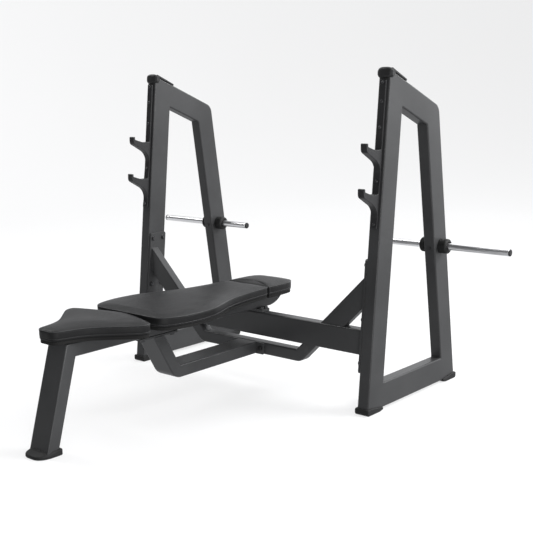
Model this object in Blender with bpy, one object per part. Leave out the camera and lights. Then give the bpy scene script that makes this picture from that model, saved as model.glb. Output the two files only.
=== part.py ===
"""Olympic bench press: a flat three-pad bench bolted between two leaning side frames.

Metres, +Z up. The foot end points to -Y, the head end to +Y and +X is the lifter's
side that "right" names. The origin is on the floor under the middle of the whole object.
"""
import math

import bmesh
import bpy
from mathutils import Matrix, Vector

# --- stock and clearances ---------------------------------------------------------
FIT_GAP = 0.0003          # between faces that touch
TUBE_WIDE = 0.100         # main rectangular tube, wide face
TUBE_SLIM = 0.050         # main rectangular tube, narrow face
TUBE_WALL = 0.003
TUBE_CORNER = 0.007       # outer corner radius of every tube
CORNER_STEPS = 2
MIN_BEND = 0.003          # smallest radius inside a bend
SOLE = 0.010              # rubber under every tube end

# --- side frames ------------------------------------------------------------------
FRAME_SPREAD = 1.242      # between the middle planes of the two frames
FRAME_BASE = 0.667        # along the floor, front line to rear line
FRAME_HEIGHT = 1.2985     # floor to the front top corner
FRONT_LEAN = math.radians(5.6)
REAR_LEAN = math.radians(8.85)
TOP_SLOPE = math.radians(20.75)
REAR_CORNER = 0.045       # outer radius of the rear top corner
BEAM_SETBACK = 0.0817     # front line at the floor to the middle of the cross beam

# --- bar hooks --------------------------------------------------------------------
HOOK_SADDLES = (0.841, 1.005)
HOOK_REACH = 0.106        # post face to the front of the tip
HOOK_TIP_WALL = 0.010
HOOK_TIP_RISE = 0.026     # tip above the saddle
HOOK_RAMP_RISE = 0.014    # foot of the tip above the saddle
HOOK_FLAT = 0.049         # post face to where the saddle starts to rise
HOOK_UNDER = 0.056        # saddle down to the root of the underside
HOOK_TIP_DROP = 0.005     # saddle down to the nose of the underside
HOOK_WIDTH = 0.028
COLUMN_PROUD = 0.010
COLUMN_BOTTOM = 0.712
CAP_DROP = 0.037          # front top corner down to the cap's lower edge
COLUMN_TOP = FRAME_HEIGHT - CAP_DROP - 0.002
COLUMN_SCREWS = (0.727, 0.887, 1.085, 1.180)
CAP_TONGUE = 0.117        # front top corner to the end of the cap's tongue
HOOK_BAR = 0.006          # tapped bar inside the post that the column's screws hold to
HOOK_BAR_WIDTH = 0.024

# --- cross members ----------------------------------------------------------------
CROSS_BEAM_BOTTOM = 0.216
END_PLATE = 0.010
END_PLATE_LOW = 0.155
END_PLATE_HIGH = 0.593
END_PLATE_MARGIN = 0.004
END_BOLT_HEIGHTS = (0.192, 0.360, 0.569)
END_BOLT_SPACING = 0.060
NUT_BAR = 0.008
NUT_BAR_WIDTH = 0.078
BRACE_WIDE = 0.080
BRACE_SLIM = 0.040
BRACE_RISE = 0.526        # floor to the brace's upper edge at the plate
LOWER_TUBE_BOTTOM = 0.138
LOWER_TUBE_HALF = 0.256   # middle to the inner corner of the lower cross tube
LOWER_BEND = 0.022

# --- bench ------------------------------------------------------------------------
SADDLE_PLATE = 0.012
SADDLE_BOLT_OUT = 0.015   # side of the bench beam to the middle of a saddle bolt
SADDLE_BOLT_EDGE = 0.015  # middle of a saddle bolt to the end of its plate
SADDLE_BOLT_SPREAD = TUBE_WIDE + 2 * SADDLE_BOLT_OUT
SADDLE_LENGTH = SADDLE_BOLT_SPREAD + 2 * SADDLE_BOLT_EDGE
SADDLE_BOLT_PITCH = 0.026
LEG_LEAN = math.radians(15.7)
TOE_REACH = 0.030
LEG_BOOT_HEIGHT = 0.023
LEG_BOOT_WALL = 0.005
BOOT_HEIGHT = 0.026
BOOT_WALL = 0.0065
BOOT_LENGTH = 0.107
NOSE_RADIUS = 0.117       # curved rear end of the bench beam
NOSE_OVERHANG = 0.014     # head pad's rear edge past the end of the bench beam
STRUT_LEAN = math.radians(30.0)
STRUT_SETBACK = 0.586     # middle of the cross beam to the middle of the strut's top
STRUT_BEND = 0.035
FLANGE = 0.008
STRUT_FLANGE_LENGTH = 0.196
STRUT_BOLT_PITCH = 0.150
STRUT_BOLT_EDGE = 0.014   # side of the flange to the middle of a bolt
STRUT_BOLT_SPREAD = TUBE_WIDE - 2 * STRUT_BOLT_EDGE
SPINE_BOLT_OUT = 0.023    # side of the lower spine to the middle of a bolt
SPINE_BOLT_EDGE = 0.017   # middle of a bolt to the end of the flange
SPINE_BOLT_SPREAD = TUBE_WIDE + 2 * SPINE_BOLT_OUT
SPINE_FLANGE_LENGTH = SPINE_BOLT_SPREAD + 2 * SPINE_BOLT_EDGE

# --- pads -------------------------------------------------------------------------
STRAP = 0.003
STRAP_WIDTH = 0.050
BOARD = 0.012
BOARD_INSET = 0.004
CUSHION = 0.040
CUSHION_EDGE = 0.010
HEAD_BEHIND = 0.167       # middle of the cross beam to the head pad's rear edge
HEAD_LENGTH = 0.192
PAD_SEAM = 0.003
BACK_LENGTH = 0.679
SEAT_GAP = 0.012
SEAT_LENGTH = 0.352
SEAT_OVERHANG = 0.053     # seat pad's front edge past the top of the leg

# --- plate pegs -------------------------------------------------------------------
PEG_HEIGHT = 0.5935
PEG_DIAMETER = 0.028
PEG_WALL = 0.0025
PEG_OUTWARD = 0.310       # outer face of the post to the tip
PEG_INWARD = 0.188
COLLAR_DIAMETER = 0.061
COLLAR_LENGTH = 0.037
PLUG_HEAD = 0.006

# --- fasteners --------------------------------------------------------------------
BOLT = 0.010
BOLT_HEAD = 0.017
BOLT_HEAD_HEIGHT = 0.008
BOLT_CLEAR = 0.0006       # hole over shank, on the diameter
SCREW = 0.006
SCREW_HEAD = 0.012
SCREW_HEAD_HEIGHT = 0.003
HOLE_SIDES = 8

# --- heights that follow ----------------------------------------------------------
CROSS_BEAM_TOP = CROSS_BEAM_BOTTOM + TUBE_WIDE
BENCH_BOTTOM = CROSS_BEAM_TOP + SADDLE_PLATE + 2 * FIT_GAP
BENCH_TOP = BENCH_BOTTOM + TUBE_SLIM
STRAP_BOTTOM = BENCH_TOP + FIT_GAP
BOARD_BOTTOM = STRAP_BOTTOM + STRAP + FIT_GAP
CUSHION_BOTTOM = BOARD_BOTTOM + BOARD + FIT_GAP
CUSHION_TOP = CUSHION_BOTTOM + CUSHION
FRAME_X = FRAME_SPREAD / 2
PLATE_FACE_X = FRAME_X - TUBE_SLIM / 2 - FIT_GAP - END_PLATE

# --- lengths that follow, first measured from the middle of the cross beam --------
PAD_CHAIN = HEAD_LENGTH + PAD_SEAM + BACK_LENGTH + SEAT_GAP + SEAT_LENGTH
LEG_TOP_FROM_BEAM = HEAD_BEHIND - PAD_CHAIN + SEAT_OVERHANG
TOE_FROM_BEAM = LEG_TOP_FROM_BEAM - BENCH_TOP * math.tan(LEG_LEAN) - TOE_REACH
HEEL_FROM_BEAM = FRAME_BASE - BEAM_SETBACK + BOOT_WALL
BEAM_Y = -(TOE_FROM_BEAM + HEEL_FROM_BEAM) / 2
HEAD_REAR_Y = BEAM_Y + HEAD_BEHIND
HEAD_FRONT_Y = HEAD_REAR_Y - HEAD_LENGTH
BACK_FRONT_Y = HEAD_FRONT_Y - PAD_SEAM - BACK_LENGTH
SEAT_FRONT_Y = BACK_FRONT_Y - SEAT_GAP - SEAT_LENGTH
LEG_TOP_Y = BEAM_Y + LEG_TOP_FROM_BEAM
NOSE_Y = HEAD_REAR_Y - NOSE_OVERHANG
STRUT_TOP_Y = BEAM_Y - STRUT_SETBACK
FRAME_FRONT_Y = BEAM_Y - BEAM_SETBACK
FRAME_REAR_Y = FRAME_FRONT_Y + FRAME_BASE

# Where each pad is bolted to the bench beam: strap, y, half length of the strap
SEAT_MOUNTS = (("seat_front", SEAT_FRONT_Y + 0.130, 0.066),
               ("seat_rear", SEAT_FRONT_Y + 0.262, 0.130))
BACK_MOUNTS = (("back_front", BACK_FRONT_Y + 0.300, 0.150),
               ("back_rear", BACK_FRONT_Y + 0.545, 0.095))
HEAD_MOUNTS = (("head", HEAD_FRONT_Y + 0.112, 0.085),)

# --- finishes: colour, roughness, metallic ----------------------------------------
POWDER_COAT = ("powder_coat", (0.075, 0.076, 0.079), 0.42, 0.0)
HOOK_COAT = ("hook_coat", (0.040, 0.040, 0.042), 0.45, 0.0)
UPHOLSTERY = ("upholstery", (0.035, 0.035, 0.037), 0.50, 0.0)
PLYWOOD = ("plywood", (0.030, 0.028, 0.026), 0.80, 0.0)
CHROME = ("chrome", (0.78, 0.78, 0.79), 0.12, 1.0)
RUBBER = ("rubber", (0.022, 0.022, 0.023), 0.75, 0.0)
PLASTIC = ("plastic", (0.028, 0.028, 0.030), 0.50, 0.0)
BLACK_STEEL = ("black_steel", (0.060, 0.060, 0.062), 0.38, 1.0)


# --- scene ------------------------------------------------------------------------
def clear_scene():
    """Remove every object that is already there."""
    for obj in list(bpy.data.objects):
        bpy.data.objects.remove(obj)


def group(name, x=0.0, y=0.0, z=0.0, parent=None):
    """An empty that carries a sub-assembly."""
    empty = bpy.data.objects.new(name, None)
    empty.location = (x, y, z)
    empty.parent = parent
    bpy.context.collection.objects.link(empty)
    return empty


def finish_material(node, finish):
    """A Principled material of the node's own."""
    name, colour, roughness, metallic = finish
    material = bpy.data.materials.new(f"{node}_{name}")
    material.use_nodes = True
    shader = material.node_tree.nodes["Principled BSDF"]
    shader.inputs["Base Color"].default_value = (*colour, 1.0)
    shader.inputs["Roughness"].default_value = roughness
    shader.inputs["Metallic"].default_value = metallic
    material.diffuse_color = (*colour, 1.0)
    return material


def add_object(name, mesh_builder, finish, parent):
    """Turn a bmesh in the parent's frame into a named object with its own material."""
    bmesh.ops.recalc_face_normals(mesh_builder, faces=mesh_builder.faces)
    mesh = bpy.data.meshes.new(name)
    mesh_builder.to_mesh(mesh)
    mesh_builder.free()
    mesh.materials.append(finish_material(name, finish))
    mesh.shade_smooth()
    mesh.set_sharp_from_angle(angle=math.radians(30))
    obj = bpy.data.objects.new(name, mesh)
    obj.parent = parent
    bpy.context.collection.objects.link(obj)
    return obj


def boolean(target, name, cutter_mesh, operation="DIFFERENCE"):
    """Cut a target with a hidden wire cutter, or join a hidden piece to it."""
    bmesh.ops.recalc_face_normals(cutter_mesh, faces=cutter_mesh.faces)
    mesh = bpy.data.meshes.new(name)
    cutter_mesh.to_mesh(mesh)
    cutter_mesh.free()
    cutter = bpy.data.objects.new(name, mesh)
    cutter.parent = target.parent
    cutter.hide_render = True
    cutter.display_type = "WIRE"
    bpy.context.collection.objects.link(cutter)
    modifier = target.modifiers.new(name, "BOOLEAN")
    modifier.operation = operation
    modifier.solver = "EXACT"
    modifier.object = cutter


# --- plane geometry ---------------------------------------------------------------
def side_plane(point, across):
    """A point of a side view (y, z), set across along X."""
    return Vector((across, point.x, point.y))


def front_plane(point, across):
    """A point of a front view (x, z), set across along Y."""
    return Vector((point.x, across, point.y))


def top_plane(point, across):
    """A point of a plan view (x, y), set at a height."""
    return Vector((point.x, point.y, across))


def left_of(direction):
    """The direction a quarter turn to the left."""
    return Vector((-direction.y, direction.x))


def meet(start, along, other, other_along):
    """Where the line through start meets the line through other."""
    turn = along.x * other_along.y - along.y * other_along.x
    gap = other - start
    return start + along * ((gap.x * other_along.y - gap.y * other_along.x) / turn)


def fillet(before, corner, after, radius, steps):
    """Points of an arc that rounds a corner, first to last."""
    arriving = (corner - before).normalized()
    leaving = (after - corner).normalized()
    side = math.copysign(1.0, arriving.x * leaving.y - arriving.y * leaving.x)
    sweep = math.acos(max(-1.0, min(1.0, arriving.dot(leaving))))
    centre = corner - arriving * radius * math.tan(sweep / 2) + left_of(arriving) * radius * side
    arm = left_of(arriving) * -radius * side
    return [centre + Matrix.Rotation(side * sweep * step / steps, 2) @ arm
            for step in range(steps + 1)]


def round_outline(corners, steps=4):
    """A closed outline from (x, y, radius) corners, each rounded by its radius."""
    spots = [Vector(corner[:2]) for corner in corners]
    outline = []
    for index, corner in enumerate(corners):
        radius = corner[2]
        if radius == 0:
            outline.append(spots[index])
            continue
        following = spots[(index + 1) % len(spots)]
        outline += fillet(spots[index - 1], spots[index], following, radius, steps)
    return outline


def smooth_outline(half, samples=2):
    """A closed plan outline, mirror-symmetric about x = 0, through half its points.

    The half runs from the front middle to the rear middle; a Catmull-Rom curve joins
    its points.
    """
    right = [Vector(point) for point in half]
    left = [Vector((-point.x, point.y)) for point in reversed(right[1:-1])]
    loop = right + left
    outline = []
    for index in range(len(loop)):
        p0, p1, p2, p3 = (loop[(index + shift) % len(loop)] for shift in (-1, 0, 1, 2))
        for step in range(samples):
            t = step / samples
            outline.append(0.5 * (2 * p1 + (p2 - p0) * t + (2 * p0 - 5 * p1 + 4 * p2 - p3) * t ** 2
                                  + (3 * p1 - p0 - 3 * p2 + p3) * t ** 3))
    return outline


def anticlockwise(outline):
    """The outline in anticlockwise order."""
    area = sum(a.x * b.y - b.x * a.y for a, b in zip(outline, outline[1:] + outline[:1]))
    return outline if area > 0 else list(reversed(outline))


def inset(outline, distance):
    """An anticlockwise outline moved inwards."""
    moved = []
    for index, corner in enumerate(outline):
        arriving = (corner - outline[index - 1]).normalized()
        leaving = (outline[(index + 1) % len(outline)] - corner).normalized()
        inward = (left_of(arriving) + left_of(leaving)).normalized()
        moved.append(corner + inward * distance / inward.dot(left_of(arriving)))
    return moved


def rounded_section(width, depth, radius):
    """Corner points of a rounded rectangle, (across width, across depth)."""
    corners = ((1, 1, 0), (-1, 1, 1), (-1, -1, 2), (1, -1, 3))
    points = []
    for side_u, side_v, quarter in corners:
        for step in range(CORNER_STEPS + 1):
            angle = math.pi / 2 * (quarter + step / CORNER_STEPS)
            points.append((side_u * (width / 2 - radius) + radius * math.cos(angle),
                           side_v * (depth / 2 - radius) + radius * math.sin(angle)))
    return points


# --- solids -----------------------------------------------------------------------
def loft(mesh, rings, loop=False):
    """Join rings of points with quads; close the ends with faces, or into a loop."""
    made = [[mesh.verts.new(point) for point in ring] for ring in rings]
    pairs = list(zip(made, made[1:]))
    if loop:
        pairs.append((made[-1], made[0]))
    for lower, upper in pairs:
        for index in range(len(lower)):
            mesh.faces.new((lower[index - 1], lower[index], upper[index], upper[index - 1]))
    if not loop:
        mesh.faces.new(made[0])
        mesh.faces.new(made[-1])
    return mesh


def slab(outline, plane, low, high, edge_low=0.0, edge_high=0.0, steps=2):
    """A plate of an outline from low to high, with rounded rims."""
    outline = anticlockwise(outline)
    levels = [(low + edge_low * (1 - math.cos(math.pi / 2 * s / steps)),
               edge_low * (1 - math.sin(math.pi / 2 * s / steps)))
              for s in range(steps + 1)] if edge_low else [(low, 0.0)]
    levels += [(high - edge_high * (1 - math.sin(math.pi / 2 * s / steps)),
                edge_high * (1 - math.cos(math.pi / 2 * s / steps)))
               for s in range(steps + 1)] if edge_high else [(high, 0.0)]
    rings = [[plane(point, across) for point in inset(outline, step_in)]
             for across, step_in in levels]
    return loft(bmesh.new(), rings)


def strip_edge(path, bends, offset, start_cut, end_cut, steps):
    """Stations of the line that runs beside a path at an offset to its left.

    Each bend is a radius at the middle of the strip, or None for a mitre.
    """
    along = [(end - start).normalized() for start, end in zip(path, path[1:])]
    shifted = [path[index] + left_of(along[index]) * offset for index in range(len(along))]
    stations = [meet(shifted[0], along[0], path[0], start_cut)]
    for index in range(1, len(along)):
        corner = meet(shifted[index - 1], along[index - 1], shifted[index], along[index])
        if bends[index - 1] is None:
            stations.append(corner)
            continue
        turn = along[index - 1].x * along[index].y - along[index - 1].y * along[index].x
        radius = max(bends[index - 1] - offset * math.copysign(1.0, turn), MIN_BEND)
        stations += fillet(corner - along[index - 1], corner, corner + along[index], radius, steps)
    stations.append(meet(shifted[-1], along[-1], path[-1], end_cut))
    return stations


def tube(plane, path, width, depth, across=0.0, bends=(), start_cut=None, end_cut=None,
         keep=(0, None), steps=6, trim=(0.0, 0.0)):
    """A hollow rectangular tube along a path, its width in the path's plane.

    keep picks a run of stations, for tubes that meet in the middle of a bend, and trim
    takes a little off each end.
    """
    start_cut = start_cut or left_of((path[1] - path[0]).normalized())
    end_cut = end_cut or left_of((path[-1] - path[-2]).normalized())
    shells = []
    for wall in (0.0, TUBE_WALL):
        section = rounded_section(width - 2 * wall, depth - 2 * wall, TUBE_CORNER - wall)
        lines = []
        for offset, side in section:
            line = strip_edge(path, bends, offset, start_cut, end_cut, steps)
            lines.append(line[keep[0]:keep[1]])
        for line in lines:
            line[0] = line[0] + (line[1] - line[0]).normalized() * trim[0]
            line[-1] = line[-1] + (line[-2] - line[-1]).normalized() * trim[1]
        stations = range(len(lines[0]))
        shells.append([[plane(line[station], across + side)
                        for line, (_, side) in zip(lines, section)] for station in stations])
    outer, inner = shells
    return loft(bmesh.new(), outer + list(reversed(inner)), loop=True)


def turned(profile, centre, axis, sides=16):
    """A ring turned about an axis: profile holds (along, radius) points of its section."""
    turn = Vector((1, 0, 0)).rotation_difference(Vector(axis)).to_matrix()
    rings = []
    for side in range(sides):
        angle = 2 * math.pi * side / sides
        rings.append([Vector(centre) + turn @ Vector((along, radius * math.cos(angle),
                                                      radius * math.sin(angle)))
                      for along, radius in profile])
    return loft(bmesh.new(), rings, loop=True)


def stack(mesh, centre, axis, levels, sides):
    """A solid turned about an axis from (along, radius) levels, closed at both ends."""
    turn = Vector((0, 0, 1)).rotation_difference(Vector(axis)).to_matrix()
    rings = []
    for along, radius in levels:
        ring = []
        for side in range(sides):
            angle = 2 * math.pi * side / sides
            spot = Vector((radius * math.cos(angle), radius * math.sin(angle), along))
            ring.append(Vector(centre) + turn @ spot)
        rings.append(ring)
    return loft(mesh, rings)


def add_bolt(mesh, seat, outward, shank, diameter=BOLT, head=BOLT_HEAD, height=BOLT_HEAD_HEIGHT,
             sides=6):
    """A headed bolt: seat is where its head rests, outward the way the head points."""
    corner = head / 2 / math.cos(math.pi / sides)
    levels = ((-shank, diameter / 2), (FIT_GAP, diameter / 2), (FIT_GAP, corner),
              (height * 0.8, corner), (height, corner * 0.85))
    return stack(mesh, seat, outward, levels, sides)


def add_hole(mesh, centre, axis, reach, diameter):
    """A cutter for a round hole through centre, reach long each way."""
    radius = diameter / 2 / math.cos(math.pi / HOLE_SIDES)
    return stack(mesh, centre, axis, ((-reach, radius), (reach, radius)), HOLE_SIDES)


# --- the side view of a frame -----------------------------------------------------
def frame_corners():
    """Outer corners of a side frame: front foot, front top, rear top, rear foot."""
    front_up = Vector((math.sin(FRONT_LEAN), math.cos(FRONT_LEAN)))
    rear_up = Vector((-math.sin(REAR_LEAN), math.cos(REAR_LEAN)))
    front_foot = Vector((FRAME_FRONT_Y, SOLE))
    rear_foot = Vector((FRAME_REAR_Y, SOLE))
    rise = FRAME_HEIGHT - SOLE
    front_top = front_foot + front_up * (rise / front_up.y)
    slope = Vector((math.cos(TOP_SLOPE), -math.sin(TOP_SLOPE)))
    rear_top = meet(front_top, slope, rear_foot, rear_up)
    return front_foot, front_top, rear_top, rear_foot


def frame_path():
    """The middle line of the tube that runs up, over and down a side frame."""
    front_foot, front_top, rear_top, rear_foot = frame_corners()
    up = (front_top - front_foot).normalized()
    over = (rear_top - front_top).normalized()
    down = (rear_foot - rear_top).normalized()
    half = TUBE_WIDE / 2
    level = Vector((1, 0))
    front_line = front_foot - left_of(up) * half
    top_line = front_top - left_of(over) * half
    rear_line = rear_foot - left_of(down) * half
    return (meet(front_line, up, front_foot, level), meet(front_line, up, top_line, over),
            meet(top_line, over, rear_line, down), meet(rear_line, down, rear_foot, level))


def post_face(height):
    """The y of the front post's front face at a height."""
    return FRAME_FRONT_Y + (height - SOLE) * math.tan(FRONT_LEAN)


def post_axis():
    """The way a screw's head points, square to the front post's front face."""
    return Vector((0, -math.cos(FRONT_LEAN), math.sin(FRONT_LEAN)))


def rear_post_middle(height):
    """The y of the rear post's middle line at a height."""
    depth = TUBE_WIDE / math.cos(REAR_LEAN)
    return FRAME_REAR_Y - (height - SOLE) * math.tan(REAR_LEAN) - depth / 2


def end_bolt_spots():
    """Centres (y, z) of the bolts that hold an end plate."""
    middle = TUBE_WIDE / math.cos(FRONT_LEAN) / 2
    return [(post_face(height) + middle + step * END_BOLT_SPACING / 2, height)
            for height in END_BOLT_HEIGHTS for step in (-1, 1)]


def build_side_frame(side_name, side, parent):
    """The four welded tubes of one frame, with the holes for what bolts through them."""
    level = Vector((1, 0))
    path = frame_path()
    corner_radius = REAR_CORNER - TUBE_WIDE / 2
    bends = (None, corner_radius)
    common = dict(width=TUBE_WIDE, depth=TUBE_SLIM, bends=bends, start_cut=level, end_cut=level)
    mitre = FIT_GAP / 2
    front = tube(side_plane, path, keep=(0, 2), trim=(0.0, mitre), **common)
    front_post = add_object(f"{side_name}_front_post", front, POWDER_COAT, parent)
    top = tube(side_plane, path, keep=(1, 6), trim=(mitre, mitre), **common)
    add_object(f"{side_name}_top_beam", top, POWDER_COAT, parent)
    rear = tube(side_plane, path, keep=(5, None), trim=(mitre, 0.0), **common)
    rear_post = add_object(f"{side_name}_rear_post", rear, POWDER_COAT, parent)

    floor_line = [Vector((spot.x, SOLE + TUBE_WIDE / 2)) for spot in (path[0], path[-1])]
    up = (path[1] - path[0]).normalized()
    down = (path[-1] - path[-2]).normalized()
    inner = TUBE_WIDE / 2 + FIT_GAP
    start = meet(floor_line[0], level, path[0] - left_of(up) * inner, up)
    end = meet(floor_line[0], level, path[-1] - left_of(down) * inner, down)
    bottom = tube(side_plane, (start, end), TUBE_WIDE, TUBE_SLIM, start_cut=up, end_cut=down)
    add_object(f"{side_name}_bottom_beam", bottom, POWDER_COAT, parent)

    holes = bmesh.new()
    for y, z in end_bolt_spots():
        add_hole(holes, (-side * TUBE_SLIM / 2, y, z), (1, 0, 0), TUBE_WALL * 2, BOLT + BOLT_CLEAR)
    for height in COLUMN_SCREWS:
        add_hole(holes, (0, post_face(height), height), post_axis(), TUBE_WALL * 2,
                 SCREW + BOLT_CLEAR)
    boolean(front_post, f"{side_name}_front_post_holes", holes)

    peg_y = rear_post_middle(PEG_HEIGHT)
    holes = add_hole(bmesh.new(), (0, peg_y, PEG_HEIGHT), (1, 0, 0), TUBE_SLIM,
                     PEG_DIAMETER + BOLT_CLEAR)
    seat = Vector((0, peg_y, PEG_HEIGHT)) + lock_screw_axis() * TUBE_WIDE / 2
    add_hole(holes, seat, lock_screw_axis(), TUBE_WALL * 2, SCREW + BOLT_CLEAR)
    boolean(rear_post, f"{side_name}_rear_post_holes", holes)


def hook_corners(saddle):
    """Corners (y, z, radius) of one hook, from its root up and round to its saddle."""
    face = post_face(saddle)
    inside = HOOK_REACH - HOOK_TIP_WALL
    return ((face - COLUMN_PROUD, saddle - HOOK_UNDER, 0.055),
            (face - HOOK_REACH, saddle - HOOK_TIP_DROP, 0.010),
            (face - HOOK_REACH, saddle + HOOK_TIP_RISE, 0.003),
            (face - inside, saddle + HOOK_TIP_RISE, 0.003),
            (face - inside, saddle + HOOK_RAMP_RISE, 0.005),
            (face - HOOK_FLAT, saddle, 0.030),
            (face - COLUMN_PROUD, saddle, 0.002))


def build_hook_column(side_name, parent):
    """The strip with two bar hooks on the front of a post, and its screws."""
    back = [(post_face(height) - FIT_GAP, height, 0.0) for height in (COLUMN_TOP, COLUMN_BOTTOM)]
    front_low = (post_face(COLUMN_BOTTOM) - COLUMN_PROUD, COLUMN_BOTTOM, 0.003)
    front_high = (post_face(COLUMN_TOP) - COLUMN_PROUD, COLUMN_TOP, 0.003)
    corners = [*back, front_low]
    for saddle in HOOK_SADDLES:
        corners += hook_corners(saddle)
    corners.append(front_high)
    half = HOOK_WIDTH / 2
    column = slab(round_outline(corners, steps=3), side_plane, -half, half, 0.0015, 0.0015, steps=1)
    column = add_object(f"{side_name}_hook_column", column, HOOK_COAT, parent)

    inside = (TUBE_WALL + FIT_GAP) / math.cos(FRONT_LEAN)
    ends = (COLUMN_BOTTOM, COLUMN_SCREWS[-1] + HOOK_BAR_WIDTH)
    bar = [Vector((post_face(height) + inside + depth, height))
           for height, depth in ((ends[0], 0), (ends[0], HOOK_BAR), (ends[1], HOOK_BAR), (ends[1], 0))]
    bar = slab(bar, side_plane, -HOOK_BAR_WIDTH / 2, HOOK_BAR_WIDTH / 2)
    bar = add_object(f"{side_name}_hook_screws", bar, BLACK_STEEL, parent)
    holes, screws = bmesh.new(), bmesh.new()
    for height in COLUMN_SCREWS:
        seat = Vector((0, post_face(height), height)) + post_axis() * COLUMN_PROUD
        add_hole(holes, seat, post_axis(), COLUMN_PROUD * 2, SCREW + BOLT_CLEAR)
        add_bolt(screws, seat, post_axis(), COLUMN_PROUD + TUBE_WALL + HOOK_BAR + 0.002, SCREW,
                 SCREW_HEAD, SCREW_HEAD_HEIGHT)
    boolean(column, f"{side_name}_hook_column_holes", holes)
    boolean(bar, f"{side_name}_hook_screws_threaded", screws, operation="UNION")


def frame_envelope(clearance):
    """A solid of the outer shape of a side frame, grown by a clearance."""
    outline = inset(anticlockwise(list(frame_corners())), -clearance)
    half = TUBE_SLIM / 2 + clearance
    return slab(outline, side_plane, -half, half)


def build_top_cap(side_name, parent):
    """The rounded hood over a frame's front top corner, with a tongue along the top beam."""
    _, top, rear_top, _ = frame_corners()
    slope = (rear_top - top).normalized()
    lift = left_of(slope)
    hood = ((top.x - 0.012, top.y - CAP_DROP, 0.013), (top.x + 0.016, top.y - 0.034, 0.011),
            (top.x + 0.031, top.y - 0.012, 0.011), (top.x + 0.020, top.y + 0.0035, 0.011),
            (top.x - 0.008, top.y + 0.0115, 0.012))
    half = TUBE_SLIM / 2 + 0.008
    cap = slab(round_outline(hood, steps=3), side_plane, -half, half, 0.010, 0.010)
    cap = add_object(f"{side_name}_top_cap", cap, PLASTIC, parent)
    tongue = ((0.012, -0.004, 0.0), (CAP_TONGUE, -0.004, 0.0), (CAP_TONGUE, 0.006, 0.005),
              (0.012, 0.0095, 0.0))
    outline = [(*(top + slope * along + lift * up), radius) for along, up, radius in tongue]
    half = TUBE_SLIM / 2 + 0.003
    boolean(cap, f"{side_name}_top_cap_tongue",
            slab(round_outline(outline, steps=2), side_plane, -half, half), operation="UNION")
    boolean(cap, f"{side_name}_top_cap_pocket", frame_envelope(FIT_GAP))


def build_frame_boot(name, heel, parent):
    """A rubber boot on a corner of a frame: heel is -1 at the front, 1 at the rear.

    Seen from the side it is highest at the outer end and tapers under the bottom beam.
    """
    lip = (FRAME_FRONT_Y, FRAME_REAR_Y)[heel > 0] + heel * BOOT_WALL
    inner = lip - heel * BOOT_LENGTH
    outline = ((lip, 0.0, 0.010), (lip, BOOT_HEIGHT, 0.006),
               (lip - heel * 0.030, BOOT_HEIGHT, 0.010), (inner, SOLE + 0.005, 0.0044),
               (inner, SOLE - 0.005, 0.0044), (inner + heel * 0.022, 0.0, 0.015))
    half = TUBE_SLIM / 2 + BOOT_WALL
    boot = slab(round_outline(outline, steps=3), side_plane, -half, half, 0.004, 0.004, steps=2)
    boot = add_object(name, boot, RUBBER, parent)
    boolean(boot, f"{name}_pocket", frame_envelope(FIT_GAP))


# --- cross members ----------------------------------------------------------------
def build_end_plate(side_name, side, parent):
    """The plate welded to the cross beam's end, its bolts and the tapped bar they hold to."""
    depth = TUBE_WIDE / math.cos(FRONT_LEAN)
    outline = []
    for height, edges in ((END_PLATE_LOW, (0, 1)), (END_PLATE_HIGH, (1, 0))):
        spots = (post_face(height) + END_PLATE_MARGIN, post_face(height) + depth - END_PLATE_MARGIN)
        outline += [(spots[edge], height, 0.010) for edge in edges]
    near, far = sorted((side * PLATE_FACE_X, side * (PLATE_FACE_X + END_PLATE)))
    plate = slab(round_outline(outline, steps=3), side_plane, near, far)
    plate = add_object(f"{side_name}_end_plate", plate, POWDER_COAT, parent)

    wall_inside = side * (FRAME_X - TUBE_SLIM / 2 + TUBE_WALL + FIT_GAP)
    near, far = sorted((wall_inside, wall_inside + side * NUT_BAR))
    outline = []
    for height, edges in ((END_BOLT_HEIGHTS[0] - 0.020, (-1, 1)),
                          (END_BOLT_HEIGHTS[-1] + 0.020, (1, -1))):
        outline += [Vector((post_face(height) + depth / 2 + edge * NUT_BAR_WIDTH / 2, height))
                    for edge in edges]
    bar = slab(outline, side_plane, near, far)
    bar = add_object(f"{side_name}_end_plate_bolts", bar, BLACK_STEEL, parent)

    holes, bolts = bmesh.new(), bmesh.new()
    for y, z in end_bolt_spots():
        seat = (side * PLATE_FACE_X, y, z)
        add_hole(holes, seat, (1, 0, 0), 2 * END_PLATE, BOLT + BOLT_CLEAR)
        add_bolt(bolts, seat, (-side, 0, 0), END_PLATE + TUBE_WALL + NUT_BAR + 0.002)
    boolean(plate, f"{side_name}_end_plate_holes", holes)
    boolean(bar, f"{side_name}_end_plate_bolts_threaded", bolts, operation="UNION")


def build_cross_beam(parent):
    """The main beam between the two end plates."""
    reach = PLATE_FACE_X - FIT_GAP
    middle = CROSS_BEAM_BOTTOM + TUBE_WIDE / 2
    path = (Vector((-reach, middle)), Vector((reach, middle)))
    beam = tube(front_plane, path, TUBE_WIDE, TUBE_SLIM, across=BEAM_Y)
    beam = add_object("cross_beam", beam, POWDER_COAT, parent)
    holes = bmesh.new()
    for x, y in saddle_bolt_spots():
        add_hole(holes, (x, y, CROSS_BEAM_TOP), (0, 0, 1), 2 * TUBE_WALL, BOLT + BOLT_CLEAR)
    boolean(beam, "cross_beam_holes", holes)


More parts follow.
